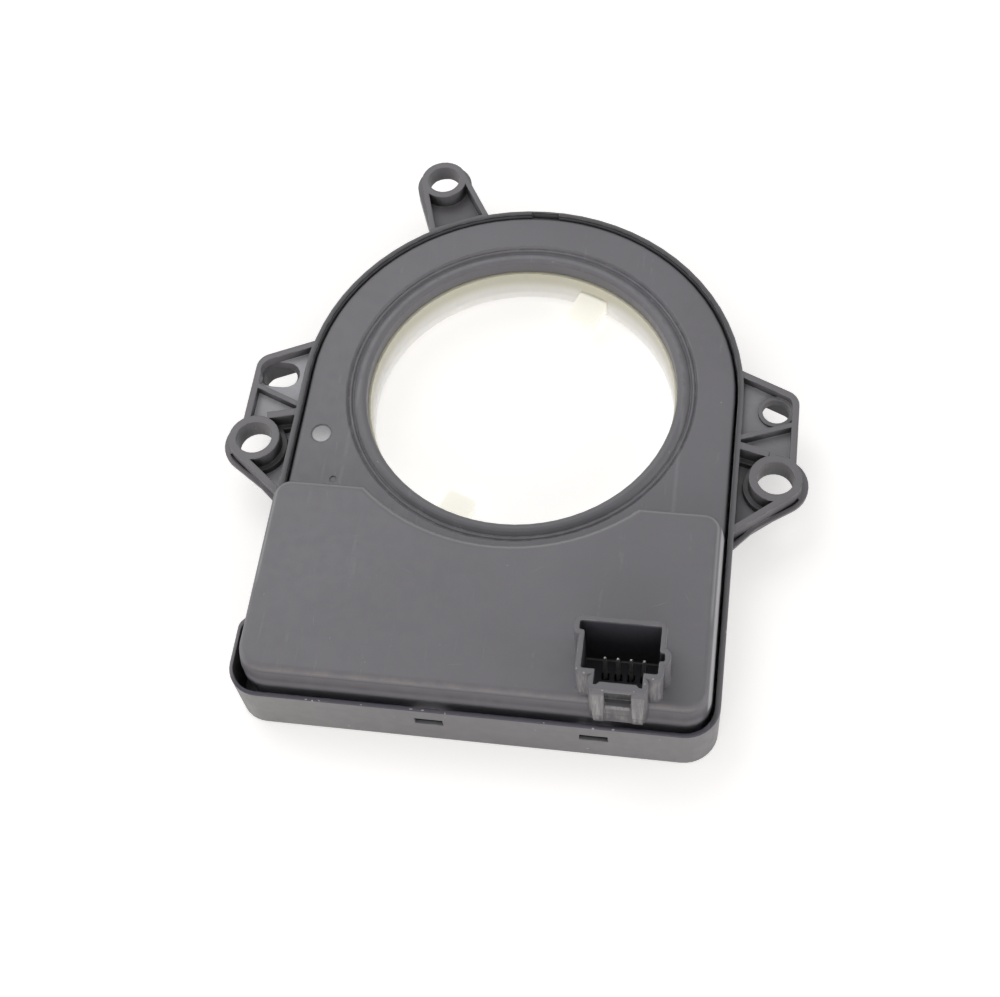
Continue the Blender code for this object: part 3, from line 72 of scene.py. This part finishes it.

# Colours of the parts of the mouldings that differ from the rest: most are painted light and shade,
# and the rest are the mouldings' own marks
GAP_SHADE = (0.01, 0.01, 0.012)
LUG_RIGHT_PAINTED_LIGHT = (0.25, 0.25, 0.27)
LUG_LEFT_PAINTED_LIGHT = (0.45, 0.45, 0.48)
LUG_STEP_SHADE = (0.07, 0.07, 0.075)
INNER_WALL_PAINTED_LIGHT = (0.22, 0.2, 0.26)
FRONT_WALL_PAINTED_LIGHT = (0.24, 0.232, 0.225)
RIM_GAP_SHADE = (0.01, 0.01, 0.014)
RIM_SHADE = (0.05, 0.05, 0.055)
FRONT_RIM_SHADE = (0.03, 0.026, 0.045)
CAVITY_SHADE = (0.062, 0.06, 0.074)
CAVITY_LINE_COLOUR = (0.5, 0.5, 0.5)
LATCH_RECESS_SHADE = (0.03, 0.03, 0.032)
UNDER_LATCH_SHADOW = (0.035, 0.034, 0.035)
SCUFF_AND_SHEEN_COLOUR = (0.36, 0.35, 0.33)
LOW_DARK_STREAK_COLOUR = (0.05, 0.047, 0.045)
RIDGE_HIGHLIGHT = (0.3, 0.3, 0.31)
LOW_FRONT_PAINTED_LIGHT = (0.27, 0.262, 0.285)
BOX_RIGHT_HIGHLIGHT = (0.52, 0.52, 0.54)
REAR_EDGE_HIGHLIGHT = (0.3, 0.3, 0.3)
SOIL_COLOUR = (0.23, 0.195, 0.18)
FRONT_LINE_SHADE = (0.07, 0.066, 0.07)
WITNESS_FRONT_SHEEN = (0.52, 0.52, 0.53)
WITNESS_REAR_COLOUR = (0.26, 0.26, 0.275)

# Marks: x, y, z of the middle, length, width and turn in degrees, in millimetres
RIM_MARKS = [
    (-28.1, -59.5, 12.0, 0.35, 0.16, 10), (-27.0, -59.6, 12.0, 0.28, 0.2, 0),
    (-25.8, -59.5, 12.0, 0.3, 0.15, -15), (-10.1, -59.4, 12.0, 0.5, 0.14, 0),
    (-8.1, -59.4, 12.0, 0.4, 0.2, 5), (-4.3, -59.5, 11.8, 0.16, 0.3, 0),
    (20.5, -59.6, 12.0, 0.35, 0.15, 0), (23.8, -59.5, 12.0, 0.45, 0.18, 8),
    (12.3, -59.5, 12.0, 0.25, 0.12, 0), (-18.6, -59.5, 12.0, 0.22, 0.12, 0),
    (-41.7, -53.9, 12.0, 0.2, 0.2, 0), (41.0, -40.0, 12.0, 0.15, 0.5, 0)]
WALL_MARKS = [
    (19.4, -59.63, 2.6, 0.3, 0.3, 0), (10.7, -59.63, 8.7, 0.22, 0.22, 0),
    (-22.2, -59.63, 1.9, 0.25, 0.25, 0), (-4.4, -59.63, 10.4, 0.12, 0.12, 0),
    (31.5, -59.6, 9.9, 0.2, 0.2, 0)]
BOX_MARKS = [
    (-27.1, -56.7, 16.6, 0.22, 0.14, 30), (-24.8, -58.4, 16.2, 0.3, 0.1, 10),
    (-25.0, -49.9, 16.6, 0.16, 0.16, 0), (-6.2, -49.3, 16.6, 0.14, 0.14, 0),
    (-37.9, -42.9, 16.6, 0.12, 0.3, 0), (-18.3, -53.7, 16.6, 0.16, 0.16, 0),
    (-6.3, -61.4, 14.6, 0.16, 0.12, 0)]
BOX_SCRATCHES = [
    (-28.4, -47.0, 16.6, 1.6, 0.09, 101), (-30.6, -22.7, 16.6, 1.7, 0.09, 100),
    (-24.0, -30.2, 16.6, 0.9, 0.1, 12), (29.6, -38.2, 16.6, 2.8, 0.1, 24),
    (34.0, -36.4, 16.6, 1.5, 0.08, -58), (8.5, -33.5, 16.6, 2.2, 0.07, 34),
    (-14.0, -36.0, 16.6, 1.8, 0.06, -22), (-3.0, -52.5, 16.6, 2.4, 0.06, 8)]
SHROUD_MARKS = [
    (16.9, -45.6, 25.3, 0.5, 0.22, 35), (17.9, -45.2, 25.3, 0.35, 0.2, -10),
    (23.8, -45.1, 25.3, 0.3, 0.14, 0), (17.6, -54.9, 25.2, 0.3, 0.2, 40),
    (18.9, -55.5, 25.2, 0.3, 0.2, 0), (32.6, -51.9, 25.2, 0.2, 0.4, 0),
    (29.9, -55.5, 25.2, 0.35, 0.2, 0), (28.7, -56.5, 25.2, 0.25, 0.25, 0),
    (22.1, -58.2, 25.1, 0.3, 0.12, 0), (27.1, -58.0, 25.1, 0.3, 0.12, 0)]
BEAD_MARKS = [
    (2.6, 35.9, 11.3, 0.5, 0.12, 0), (-15.6, 30.3, 11.3, 0.3, 0.12, 30),
    (28.5, -5.0, 11.3, 0.14, 0.5, -20), (-24.0, -12.0, 11.3, 0.5, 0.14, -40)]
MARK_SIZE = 0.55 * MM
WITNESS_PLACE = (-35.49, -6.87, 11.3)
WITNESS_R = 1.85


def aim(item, place, target):
    item.location = place
    item.rotation_euler = (Vector(target) - Vector(place)).to_track_quat("-Z", "Y").to_euler()


def make_camera():
    data = bpy.data.cameras.new("camera")
    data.sensor_fit = "HORIZONTAL"
    data.sensor_width = CAMERA_SENSOR
    data.lens = CAMERA_LENS
    data.clip_start = 0.01
    camera = bpy.data.objects.new("camera", data)
    bpy.context.scene.collection.objects.link(camera)
    axes = Matrix((CAMERA_RIGHT, CAMERA_UP, CAMERA_BACK)).transposed().to_4x4()
    camera.matrix_world = Matrix.Translation(CAMERA_PLACE) @ axes
    bpy.context.scene.camera = camera


def make_lamps():
    for name, place, size, power, colour in LAMPS:
        data = bpy.data.lights.new(name, "AREA")
        data.size = size
        data.energy = power
        data.color = colour
        lamp = bpy.data.objects.new(name, data)
        bpy.context.scene.collection.objects.link(lamp)
        aim(lamp, place, (0.0, 0.0, 0.0))


class Tree:
    """Short calls for building a node tree."""

    def __init__(self, tree):
        self.tree = tree

    def add(self, kind, inputs=None, **settings):
        node = self.tree.nodes.new(kind)
        for key, value in settings.items():
            setattr(node, key, value)
        for key, value in (inputs or {}).items():
            if isinstance(value, bpy.types.NodeSocket):
                self.tree.links.new(value, node.inputs[key])
            else:
                node.inputs[key].default_value = value
        return node

    def link(self, source, target):
        self.tree.links.new(source, target)

    def place(self):
        return self.add("ShaderNodeTexCoord").outputs["Object"]

    def axes(self, place):
        parts = self.add("ShaderNodeSeparateXYZ", {0: place})
        return parts.outputs["X"], parts.outputs["Y"], parts.outputs["Z"]

    def bore_distance(self, x, y):
        """Distance in plan from the bore's axis, and in front of it from its middle plane."""
        behind = self.math("MAXIMUM", self.math("SUBTRACT", y, BORE_Y * MM), 0.0)
        return self.math("SQRT", self.math("ADD", self.math("MULTIPLY", x, x),
                                           self.math("MULTIPLY", behind, behind)))

    def between(self, value, low, high, soft=0.1):
        """1 where a length lies between two others, in millimetres."""
        return self.both(self.ramp(value, low - soft, low + soft),
                         self.ramp(value, high + soft, high - soft))

    def ramp(self, value, start, end, at_start=0.0, at_end=1.0):
        """Soft step between two lengths in millimetres."""
        return self.span(value, start * MM, end * MM, at_start, at_end)

    def both(self, *shares):
        """Product of shares: 1 only where every one of them is 1."""
        total = shares[0]
        for share in shares[1:]:
            total = self.math("MULTIPLY", total, share)
        return total

    def math(self, operation, first, second=0.5):
        return self.add("ShaderNodeMath", {0: first, 1: second}, operation=operation).outputs[0]

    def noise(self, vector, scale, detail=3.0, roughness=0.55):
        node = self.add("ShaderNodeTexNoise", {"Vector": vector, "Scale": scale, "Detail": detail,
                                               "Roughness": roughness})
        return node.outputs["Fac"]

    def span(self, value, low, high, to_low=0.0, to_high=1.0, smooth=True):
        node = self.add("ShaderNodeMapRange", {
            "Value": value, "From Min": low, "From Max": high, "To Min": to_low,
            "To Max": to_high}, interpolation_type="SMOOTHSTEP" if smooth else "LINEAR")
        return node.outputs["Result"]

    def mix(self, share, first, second):
        node = self.add("ShaderNodeMix", data_type="RGBA")
        for socket, value in ((node.inputs[0], share), (node.inputs[6], first),
                              (node.inputs[7], second)):
            if isinstance(value, bpy.types.NodeSocket):
                self.link(value, socket)
            else:
                socket.default_value = (*value, 1.0) if isinstance(value, tuple) else value
        return node.outputs[2]

    def marks(self, place, ragged, spots, height):
        """Mask of small ragged marks."""
        total = 0.0
        for x, y, z, length, width, turn in spots:
            local = self.add("ShaderNodeMapping", {
                "Vector": place, "Location": (x * MM, y * MM, z * MM),
                "Rotation": (0.0, 0.0, math.radians(turn)),
                "Scale": (length * MARK_SIZE, width * MARK_SIZE, height * MM)},
                vector_type="TEXTURE")
            reach = self.add("ShaderNodeVectorMath", {0: local.outputs[0]}, operation="LENGTH")
            edge = self.math("ADD", reach.outputs["Value"], ragged)
            total = self.math("MAXIMUM", self.span(edge, 1.2, 0.7), total)
        return total


def make_world():
    world = bpy.data.worlds.new("studio")
    bpy.context.scene.world = world
    world.use_nodes = True
    tree = Tree(world.node_tree)
    world.node_tree.nodes.clear()
    strength = tree.span(seen_share(tree), 0.0, 1.0, WORLD_STRENGTH, 1.0, smooth=False)
    shade = tree.add("ShaderNodeBackground", {"Color": (*WORLD_COLOUR, 1.0), "Strength": strength})
    output = tree.add("ShaderNodeOutputWorld")
    tree.link(shade.outputs[0], output.inputs["Surface"])


def seen_share(tree):
    """1 for what the camera sees, straight or in gloss and glass, and 0 for light."""
    path = tree.add("ShaderNodeLightPath")
    seen = tree.math("MAXIMUM", path.outputs["Is Camera Ray"], path.outputs["Is Glossy Ray"])
    return tree.math("MAXIMUM", seen, path.outputs["Is Transmission Ray"])


def make_floor():
    half = FLOOR_HALF
    mesh = bpy.data.meshes.new("floor")
    mesh.from_pydata([(-half, -half, FLOOR_Z), (half, -half, FLOOR_Z), (half, half, FLOOR_Z),
                      (-half, half, FLOOR_Z)], [], [(0, 1, 2, 3)])
    floor = bpy.data.objects.new("floor", mesh)
    bpy.context.scene.collection.objects.link(floor)
    material = bpy.data.materials.new("floor")
    material.use_nodes = True
    material.node_tree.nodes.clear()
    tree = Tree(material.node_tree)
    tone = tree.mix(tree.noise(tree.place(), 6.0), FLOOR_LIGHT, FLOOR_DARK)
    surface = tree.add("ShaderNodeBsdfDiffuse", {"Color": tone})
    reach = tree.add("ShaderNodeVectorMath", {0: tree.place()}, operation="LENGTH").outputs["Value"]
    level = tree.span(reach, *FLOOR_FADE, FLOOR_GLOW, 1.0)
    glow = tree.add("ShaderNodeEmission", {
        "Color": (1.0, 1.0, 1.0, 1.0), "Strength": tree.math("MULTIPLY", seen_share(tree), level)})
    both = tree.add("ShaderNodeAddShader")
    tree.link(surface.outputs[0], both.inputs[0])
    tree.link(glow.outputs[0], both.inputs[1])
    output = tree.add("ShaderNodeOutputMaterial")
    tree.link(both.outputs[0], output.inputs["Surface"])
    mesh.materials.append(material)


def new_material(name):
    material = bpy.data.materials.new(name)
    material.use_nodes = True
    tree = Tree(material.node_tree)
    return material, tree, material.node_tree.nodes["Principled BSDF"]


def dress(material, *names):
    for name in names:
        mesh = NODES[name].data
        mesh.materials.clear()
        mesh.materials.append(material)


class Moulded:
    """Moulded plastic: slow tone changes, fine grain, rubbed edges, dust and scratches."""

    def __init__(self, name, low, high, light, roughness, grain=5200.0, grain_height=0.02 * MM,
                 edge_r=0.35 * MM):
        self.material, self.tree, self.shader = new_material(name)
        self.light = light
        self.grain_height = grain_height
        tree = self.tree
        self.place = tree.place()
        self.x, self.y, self.z = tree.axes(self.place)
        self.r = tree.bore_distance(self.x, self.y)
        slow = tree.noise(self.place, 45.0, 2.0)
        self.middle = tree.noise(self.place, 420.0, 3.0)
        self.fine = tree.noise(self.place, grain, 2.0, 0.6)
        tone = tree.math("ADD", tree.math("MULTIPLY", slow, 0.55),
                         tree.math("MULTIPLY", self.middle, 0.45))
        self.colour = tree.mix(tree.span(tone, 0.35, 0.65), low, high)
        geometry = tree.add("ShaderNodeNewGeometry").outputs["Normal"]
        self.face_y, self.face_z = tree.axes(geometry)[1:]
        self.rounded = tree.add("ShaderNodeBevel", {"Radius": edge_r}, samples=6).outputs["Normal"]
        turn = tree.add("ShaderNodeVectorMath", {0: self.rounded, 1: geometry},
                        operation="DOT_PRODUCT").outputs["Value"]
        edge = tree.span(turn, 0.97, 0.75)
        self.rub = tree.math("MULTIPLY", edge, tree.span(self.middle, 0.42, 0.66))
        self.rough = tree.span(self.middle, 0.3, 0.7, roughness - 0.05, roughness + 0.06)

    def tint(self, share, colour, amount):
        share = self.tree.math("MULTIPLY", share, amount)
        self.colour = self.tree.mix(share, self.colour, colour)

    def shade(self, reach, low, high, darkest, where=None):
        """Painted shade: darkens corners that see little of the room."""
        tree = self.tree
        open_share = tree.add("ShaderNodeAmbientOcclusion", {"Distance": reach * MM}, samples=8,
                              only_local=True).outputs["AO"]
        hidden = tree.span(open_share, high, low, 0.0, 1.0 - darkest)
        if where is not None:
            hidden = tree.math("MULTIPLY", hidden, where)
        self.colour = tree.mix(hidden, self.colour, (0.0, 0.0, 0.0))

    def dust(self, scale, share, amount, where=1.0):
        tree = self.tree
        dots = tree.add("ShaderNodeTexVoronoi", {"Vector": self.place, "Scale": scale})
        chosen = tree.add("ShaderNodeTexWhiteNoise", {"Vector": dots.outputs["Position"]},
                          noise_dimensions="3D").outputs["Value"]
        speck = tree.math("MULTIPLY", tree.span(dots.outputs["Distance"], 0.05, 0.02),
                          tree.math("GREATER_THAN", chosen, 1.0 - share))
        self.tint(tree.math("MULTIPLY", speck, where), self.light, amount)

    def scuffs(self, amount):
        """Faint fine scratches in two directions."""
        tree = self.tree
        for turn, scale in ((20.0, (900.0, 60.0, 400.0)), (-65.0, (1100.0, 80.0, 400.0))):
            local = tree.add("ShaderNodeMapping", {
                "Vector": self.place, "Rotation": (0.0, 0.0, math.radians(turn)), "Scale": scale})
            line = tree.noise(local.outputs["Vector"], 1.0, 1.0)
            line = tree.math("MULTIPLY", tree.span(line, 0.68, 0.78),
                             tree.span(self.middle, 0.45, 0.6))
            self.tint(line, self.light, amount)

    def spots(self, spots, amount, height=0.5):
        ragged = self.tree.span(self.fine, 0.25, 0.75, -0.45, 0.45, smooth=False)
        self.tint(self.tree.marks(self.place, ragged, spots, height), self.light, amount)

    def done(self, rub_amount=0.6):
        tree = self.tree
        self.tint(self.rub, self.light, rub_amount)
        tree.link(self.colour, self.shader.inputs["Base Color"])
        tree.link(tree.math("SUBTRACT", self.rough, tree.math("MULTIPLY", self.rub, 0.1)),
                  self.shader.inputs["Roughness"])
        height = tree.math("ADD", self.fine, tree.math("MULTIPLY", self.middle, 0.8))
        bump = tree.add("ShaderNodeBump", {"Height": height, "Strength": 0.6,
                                           "Distance": self.grain_height, "Normal": self.rounded})
        tree.link(bump.outputs["Normal"], self.shader.inputs["Normal"])
        return self.material


def housing_plastic():
    """Painted light on the lug floors and on both faces of the front wall, and painted shade in the
    lug steps, the corners and on the rim beside the cover.
    """
    look = Moulded("housing_plastic", (0.128, 0.124, 0.133), (0.143, 0.139, 0.149),
                   (0.55, 0.54, 0.52), 0.46)
    tree = look.tree
    lug = tree.ramp(tree.math("ABSOLUTE", look.x), *LUG_START_X)
    upward = tree.span(look.face_z, 0.8, 0.95)
    upright = tree.span(tree.math("ABSOLUTE", look.face_z), 0.7, 0.3)

    # Painted light: the lugs' upward floors are lighter, the left lug's more than the right's
    floors = tree.math("MAXIMUM", tree.between(look.z, *LUG_LOW_FLOOR_Z),
                       tree.between(look.z, *LUG_FLOOR_Z))
    left = tree.span(look.x, 41.0 * MM, -41.0 * MM, smooth=False)
    look.tint(tree.both(upward, lug, floors), tree.mix(left, LUG_RIGHT_PAINTED_LIGHT, LUG_LEFT_PAINTED_LIGHT),
              tree.span(look.middle, 0.3, 0.7, 0.75, 1.0))
    # Painted shade on the lug ledges, which lie deep in the pockets
    look.tint(tree.both(upward, lug, tree.between(look.z, *LUG_STEP_Z)), LUG_STEP_SHADE, 0.8)

    # Painted shade in the corners of upright walls, weaker toward the front wall
    behind = tree.ramp(look.y, -54.0, -48.0, 0.35, 1.0)
    look.shade(3.0, 0.35, 0.85, 0.3, tree.both(upright, behind))
    # Painted light on the front wall's inner face, which lies in shade in the gap
    inner = tree.both(tree.span(look.face_y, 0.3, 0.7), tree.ramp(look.y, -55.0, -57.0))
    look.tint(inner, INNER_WALL_PAINTED_LIGHT, 0.8)

    # Painted light: the front wall's outer face is lighter, most toward the left
    front = tree.both(tree.span(look.face_y, -0.6, -0.9), tree.ramp(look.y, -57.0, -59.0))
    front_light_right = tree.math("MULTIPLY", tree.ramp(look.x, 10.0, 34.0), 0.4)
    front_light = tree.math("ADD", tree.ramp(look.x, -5.0, -38.0), front_light_right)
    look.tint(front, FRONT_WALL_PAINTED_LIGHT, tree.math("MULTIPLY", front_light, 0.42))

    # Painted shade on the rim beside the cover: darkest at its inner edge, and dark purple along the
    # front rim
    top = tree.ramp(look.z, *RIM_TOP_Z)
    rim = tree.both(top, tree.ramp(look.r, 39.4, 39.6), tree.ramp(look.r, 41.6, 41.3))
    look.tint(tree.both(rim, tree.ramp(look.r, 41.0, 40.1)), RIM_GAP_SHADE, 0.85)
    look.tint(rim, RIM_SHADE, 0.3)
    look.tint(tree.both(top, tree.ramp(look.y, -55.0, -58.5)), FRONT_RIM_SHADE, 0.92)

    look.dust(240.0, 0.2, 0.35)
    right_corner = tree.both(tree.ramp(look.x, 24.0, 33.0), tree.ramp(look.y, -50.0, -56.0))
    look.dust(620.0, 0.4, 0.6, tree.both(upright, right_corner))
    look.spots(RIM_MARKS, 0.6)
    look.spots(WALL_MARKS, 0.6, 0.16)
    return look.done(0.35)


def dress_connector(look):
    """Painted shade in the cavity, the latch's recesses and the outer corners, and light and dark
    streaks on the front, the light ones partly painted sheen.
    """
    tree = look.tree
    # Painted shade inside the connector's cavity and key channel
    cavity = tree.both(tree.between(look.x, *CAVITY_X, 0.02), tree.between(look.y, *CAVITY_Y, 0.02))
    channel = tree.both(tree.between(look.x, *CHANNEL_X, 0.02),
                        tree.between(look.y, *CHANNEL_Y, 0.02))
    inside = tree.both(tree.math("MAXIMUM", cavity, channel), tree.ramp(look.z, *CAVITY_TOP_Z))
    look.tint(inside, CAVITY_SHADE, tree.ramp(look.z, 10.0, 22.0, 0.88, 0.97))
    line = tree.both(inside, tree.between(look.y, -46.6, -46.2, 0.03),
                     tree.ramp(look.z, 10.5, 10.3))
    look.tint(line, CAVITY_LINE_COLOUR, 0.6)

    upright = tree.span(tree.math("ABSOLUTE", look.face_z), 0.7, 0.3)
    # Painted shade in the corners of the shroud's outer walls above the box
    look.shade(4.0, 0.2, 0.7, 0.4, tree.both(
        tree.between(look.x, *CONNECTOR_X), tree.between(look.y, *CONNECTOR_Y), upright,
        tree.ramp(look.z, 16.7, 17.5)))

    # Painted shade in the recess under the latch's lip, and a painted shadow under its nose
    latch = tree.between(look.x, *LATCH_X, 0.03)
    recess = tree.both(latch, tree.between(look.y, -58.24, -57.3, 0.03),
                       tree.between(look.z, 20.5, 24.3, 0.05))
    look.tint(recess, LATCH_RECESS_SHADE, 0.75)
    under_latch = tree.both(latch, tree.between(look.y, -58.75, -58.0, 0.03),
                            tree.ramp(look.z, 19.3, 19.0), tree.ramp(look.z, 12.5, 16.5))
    look.tint(under_latch, UNDER_LATCH_SHADOW, 0.55)

    # Light vertical streaks on the front faces: partly scuffs, partly painted sheen
    drawn = tree.noise(tree.add("ShaderNodeMapping", {
        "Vector": look.place, "Scale": (2100.0, 2100.0, 170.0)}).outputs["Vector"], 1.0, 4.0, 0.65)
    clear_of_box = tree.math("MAXIMUM", tree.ramp(look.y, -57.5, -57.7),
                             tree.ramp(look.z, 16.7, 17.2))
    front = tree.both(
        tree.between(look.x, *CONNECTOR_X), tree.ramp(look.y, -53.0, -54.5),
        tree.span(look.face_y, -0.4, -0.8), tree.between(look.z, 13.5, 24.0, 0.8), clear_of_box)
    hollow = tree.math("MULTIPLY", tree.math("MAXIMUM", recess, under_latch), 0.7)
    look.tint(tree.both(front, tree.span(drawn, 0.38, 0.72), tree.math("SUBTRACT", 1.0, hollow)),
              SCUFF_AND_SHEEN_COLOUR, 0.65)
    # Dark streaks on the front faces, darker toward the bottom
    look.tint(tree.both(front, tree.span(drawn, 0.5, 0.3), tree.ramp(look.z, 19.0, 15.0)),
              LOW_DARK_STREAK_COLOUR, 0.75)


def dress_box(look):
    """Painted shade at the foot, painted light on the low front, painted highlights on the right side
    and along the rear edge, a soiled front edge, and a line of painted shade under it.
    """
    tree = look.tree
    # Painted shade on the cover's foot in the gap at the front
    foot = tree.both(tree.ramp(look.y, -44.0, -46.0), tree.ramp(look.z, 11.7, 11.5))
    look.tint(foot, GAP_SHADE, 0.2)
    # Painted light on the box's low front, which lies in shade by the gap
    low_front = tree.both(tree.ramp(look.y, -55.5, -56.5), tree.ramp(look.z, 13.6, 12.2))
    look.tint(low_front, LOW_FRONT_PAINTED_LIGHT, 0.7)
    # Painted highlight along the box's right edge
    right = tree.both(tree.ramp(look.z, *BOX_FOOT_Z), tree.ramp(look.x, 38.75, 39.1))
    look.tint(right, BOX_RIGHT_HIGHLIGHT, 0.85)
    # Painted highlight line along the box's rear top edge
    rear_edge = tree.both(tree.between(look.z, 16.3, 16.52, 0.05),
                          tree.ramp(look.y, -42.0, -38.0))
    look.tint(rear_edge, REAR_EDGE_HIGHLIGHT, 0.6)
    front = tree.ramp(look.y, *BOX_FRONT_Y)
    look.tint(tree.both(tree.between(look.z, 16.0, 16.58), front,
                        tree.span(look.middle, 0.38, 0.62)), SOIL_COLOUR, 0.6)
    # Painted shade in a line below the front's top rounding
    look.tint(tree.both(tree.between(look.z, 15.35, 15.75, 0.15), front), FRONT_LINE_SHADE, 0.5)


def dress_ring(look):
    """Painted highlight on the ridge round the bore, painted shade at the ring's edge by the gap, and
    the witness mark with a painted sheen.
    """
    tree = look.tree
    # Painted highlight on the ridge round the bore
    ridge = tree.both(tree.between(look.r, 29.9, 30.5, 0.25), tree.ramp(look.z, 12.0, 11.8),
                      tree.span(look.middle, 0.3, 0.6))
    look.tint(ridge, RIDGE_HIGHLIGHT, 0.22)
    # Painted shade at the ring's edge beside the gap
    edge = tree.both(tree.ramp(look.r, 39.0, 39.65), tree.ramp(look.z, 12.5, 12.0))
    look.tint(edge, GAP_SHADE, 0.75)

    centre = tuple(value * MM for value in WITNESS_PLACE)
    away = tree.add("ShaderNodeVectorMath", {0: look.place, 1: centre}, operation="DISTANCE")
    disc = tree.ramp(away.outputs["Value"], WITNESS_R, WITNESS_R - 0.3)
    # The witness disc is lighter than the plastic round it, and a painted sheen makes it lighter
    # still toward its front
    tone = tree.mix(tree.ramp(look.y, -5.4, -8.6), WITNESS_REAR_COLOUR, WITNESS_FRONT_SHEEN)
    look.tint(disc, tone, tree.span(look.fine, 0.3, 0.7, 0.7, 1.0))
    look.rough = tree.math("SUBTRACT", look.rough, tree.math("MULTIPLY", disc, 0.15))


def cover_plastic():
    look = Moulded("cover_plastic", (0.13, 0.127, 0.14), (0.143, 0.14, 0.154),
                   (0.45, 0.44, 0.43), 0.44)
    look.scuffs(0.07)
    dress_connector(look)
    # Painted shade in the fine creases of the cover
    look.shade(0.8, 0.3, 0.75, 0.62)
    dress_ring(look)
    dress_box(look)
    look.dust(240.0, 0.12, 0.3)
    look.spots(BOX_MARKS + BEAD_MARKS, 0.4)
    look.spots(BOX_SCRATCHES, 0.16)
    look.spots(SHROUD_MARKS, 0.6)
    return look.done(0.5)


def small_part(name, low, high, light, roughness):
    look = Moulded(name, low, high, light, roughness, 4000.0, 0.01 * MM, 0.1 * MM)
    return look.done()


def translucent(name, low, high, roughness):
    """Milky moulded plastic that lets some light through."""
    material, tree, shader = new_material(name)
    place = tree.place()
    fine = tree.noise(place, 1800.0, 2.0)
    colour = tree.mix(tree.span(tree.noise(place, 60.0, 2.0), 0.35, 0.65), low, high)
    tree.link(tree.span(fine, 0.3, 0.7, roughness - 0.05, roughness + 0.05),
              shader.inputs["Roughness"])
    shader.inputs["Subsurface Weight"].default_value = 0.7
    shader.inputs["Subsurface Radius"].default_value = (1.0, 0.95, 0.7)
    shader.inputs["Subsurface Scale"].default_value = 1.5 * MM
    shader.inputs["IOR"].default_value = 1.48
    bump = tree.add("ShaderNodeBump", {"Height": fine, "Strength": 0.3, "Distance": 0.02 * MM})
    tree.link(bump.outputs["Normal"], shader.inputs["Normal"])
    tree.link(colour, shader.inputs["Base Color"])
    return material, tree, shader, place, colour


def rotor_plastic():
    """Yellowish at the rotor's top, with a painted glow toward its foot and tabs that stands in for
    the floor's light through the plastic.
    """
    material, tree, shader, place, colour = translucent(
        "rotor_plastic", (0.9, 0.89, 0.85), (0.95, 0.94, 0.9), 0.35)
    x, y, z = tree.axes(place)
    top = tree.ramp(z, *ROTOR_TOP_Z)
    tree.link(tree.mix(top, colour, ROTOR_TOP_COLOUR), shader.inputs["Base Color"])
    away = tree.add("ShaderNodeVectorMath", {
        0: place, 1: (0.0, BORE_Y * MM, 0.0)}, operation="SUBTRACT").outputs[0]
    flat = tree.add("ShaderNodeVectorMath", {0: away, 1: (1.0, 1.0, 0.0)}, operation="MULTIPLY")
    plan = tree.add("ShaderNodeVectorMath", {0: flat.outputs[0]}, operation="LENGTH")
    tab = tree.ramp(plan.outputs["Value"], *TAB_R)
    # Painted glow: emission toward the foot and in the tabs stands in for light through the plastic
    lit = tree.math("MAXIMUM", tree.ramp(z, *ROTOR_FOOT_Z, 0.0, FOOT_PAINTED_GLOW),
                    tree.math("MULTIPLY", tab, TAB_PAINTED_GLOW))
    tree.link(tree.mix(tab, (1.0, 0.97, 0.94), (1.0, 0.99, 0.93)), shader.inputs["Emission Color"])
    tree.link(lit, shader.inputs["Emission Strength"])
    return material


def metal(name, low, high, roughness, metallic=1.0):
    """Drawn or stamped metal with fine lines along its length."""
    material, tree, shader = new_material(name)
    place = tree.place()
    slow = tree.noise(place, 900.0, 3.0)
    stretch = tree.add("ShaderNodeMapping", {"Vector": place, "Scale": (6000.0, 6000.0, 300.0)})
    drawn = tree.noise(stretch.outputs["Vector"], 1.0, 2.0)
    tree.link(tree.mix(tree.span(slow, 0.3, 0.7), low, high), shader.inputs["Base Color"])
    tree.link(tree.span(drawn, 0.3, 0.7, roughness - 0.07, roughness + 0.1),
              shader.inputs["Roughness"])
    shader.inputs["Metallic"].default_value = metallic
    bump = tree.add("ShaderNodeBump", {"Height": drawn, "Strength": 0.4, "Distance": 0.01 * MM})
    tree.link(bump.outputs["Normal"], shader.inputs["Normal"])
    return material


def make_materials():
    dress(housing_plastic(), "housing")
    dress(cover_plastic(), "cover")
    dress(rotor_plastic(), "rotor")
    dress(translucent("gear_plastic", (0.74, 0.73, 0.66), (0.8, 0.79, 0.73), 0.4)[0],
          "gear_a", "gear_b", "gear_retainer")
    dress(metal("magnet_metal", (0.3, 0.3, 0.31), (0.4, 0.4, 0.41), 0.35),
          "magnet_a", "magnet_b")
    dress(metal("terminal_metal", (0.6, 0.59, 0.56), (0.74, 0.73, 0.7), 0.38, 0.6),
          *(f"terminal_{index}" for index in range(1, 5)))
    dress(metal("crystal_metal", (0.55, 0.55, 0.55), (0.68, 0.68, 0.68), 0.3), "crystal")
    dress(small_part("board_laminate", (0.015, 0.11, 0.045), (0.03, 0.16, 0.07),
                     (0.5, 0.45, 0.25), 0.4), "circuit_board")
    dress(small_part("chip_resin", (0.015, 0.015, 0.016), (0.03, 0.03, 0.031),
                     (0.25, 0.25, 0.25), 0.5),
          "sensor_chip_a", "sensor_chip_b", "microcontroller", "bus_transceiver",
          "voltage_regulator", "resistor_1", "resistor_2", "resistor_3")
    dress(small_part("capacitor_ceramic", (0.3, 0.2, 0.12), (0.4, 0.28, 0.17),
                     (0.6, 0.6, 0.6), 0.45), "capacitor_1", "capacitor_2", "capacitor_3")


bpy.context.scene.view_settings.view_transform = "Standard"
make_camera()
make_lamps()
make_world()
make_floor()
make_materials()
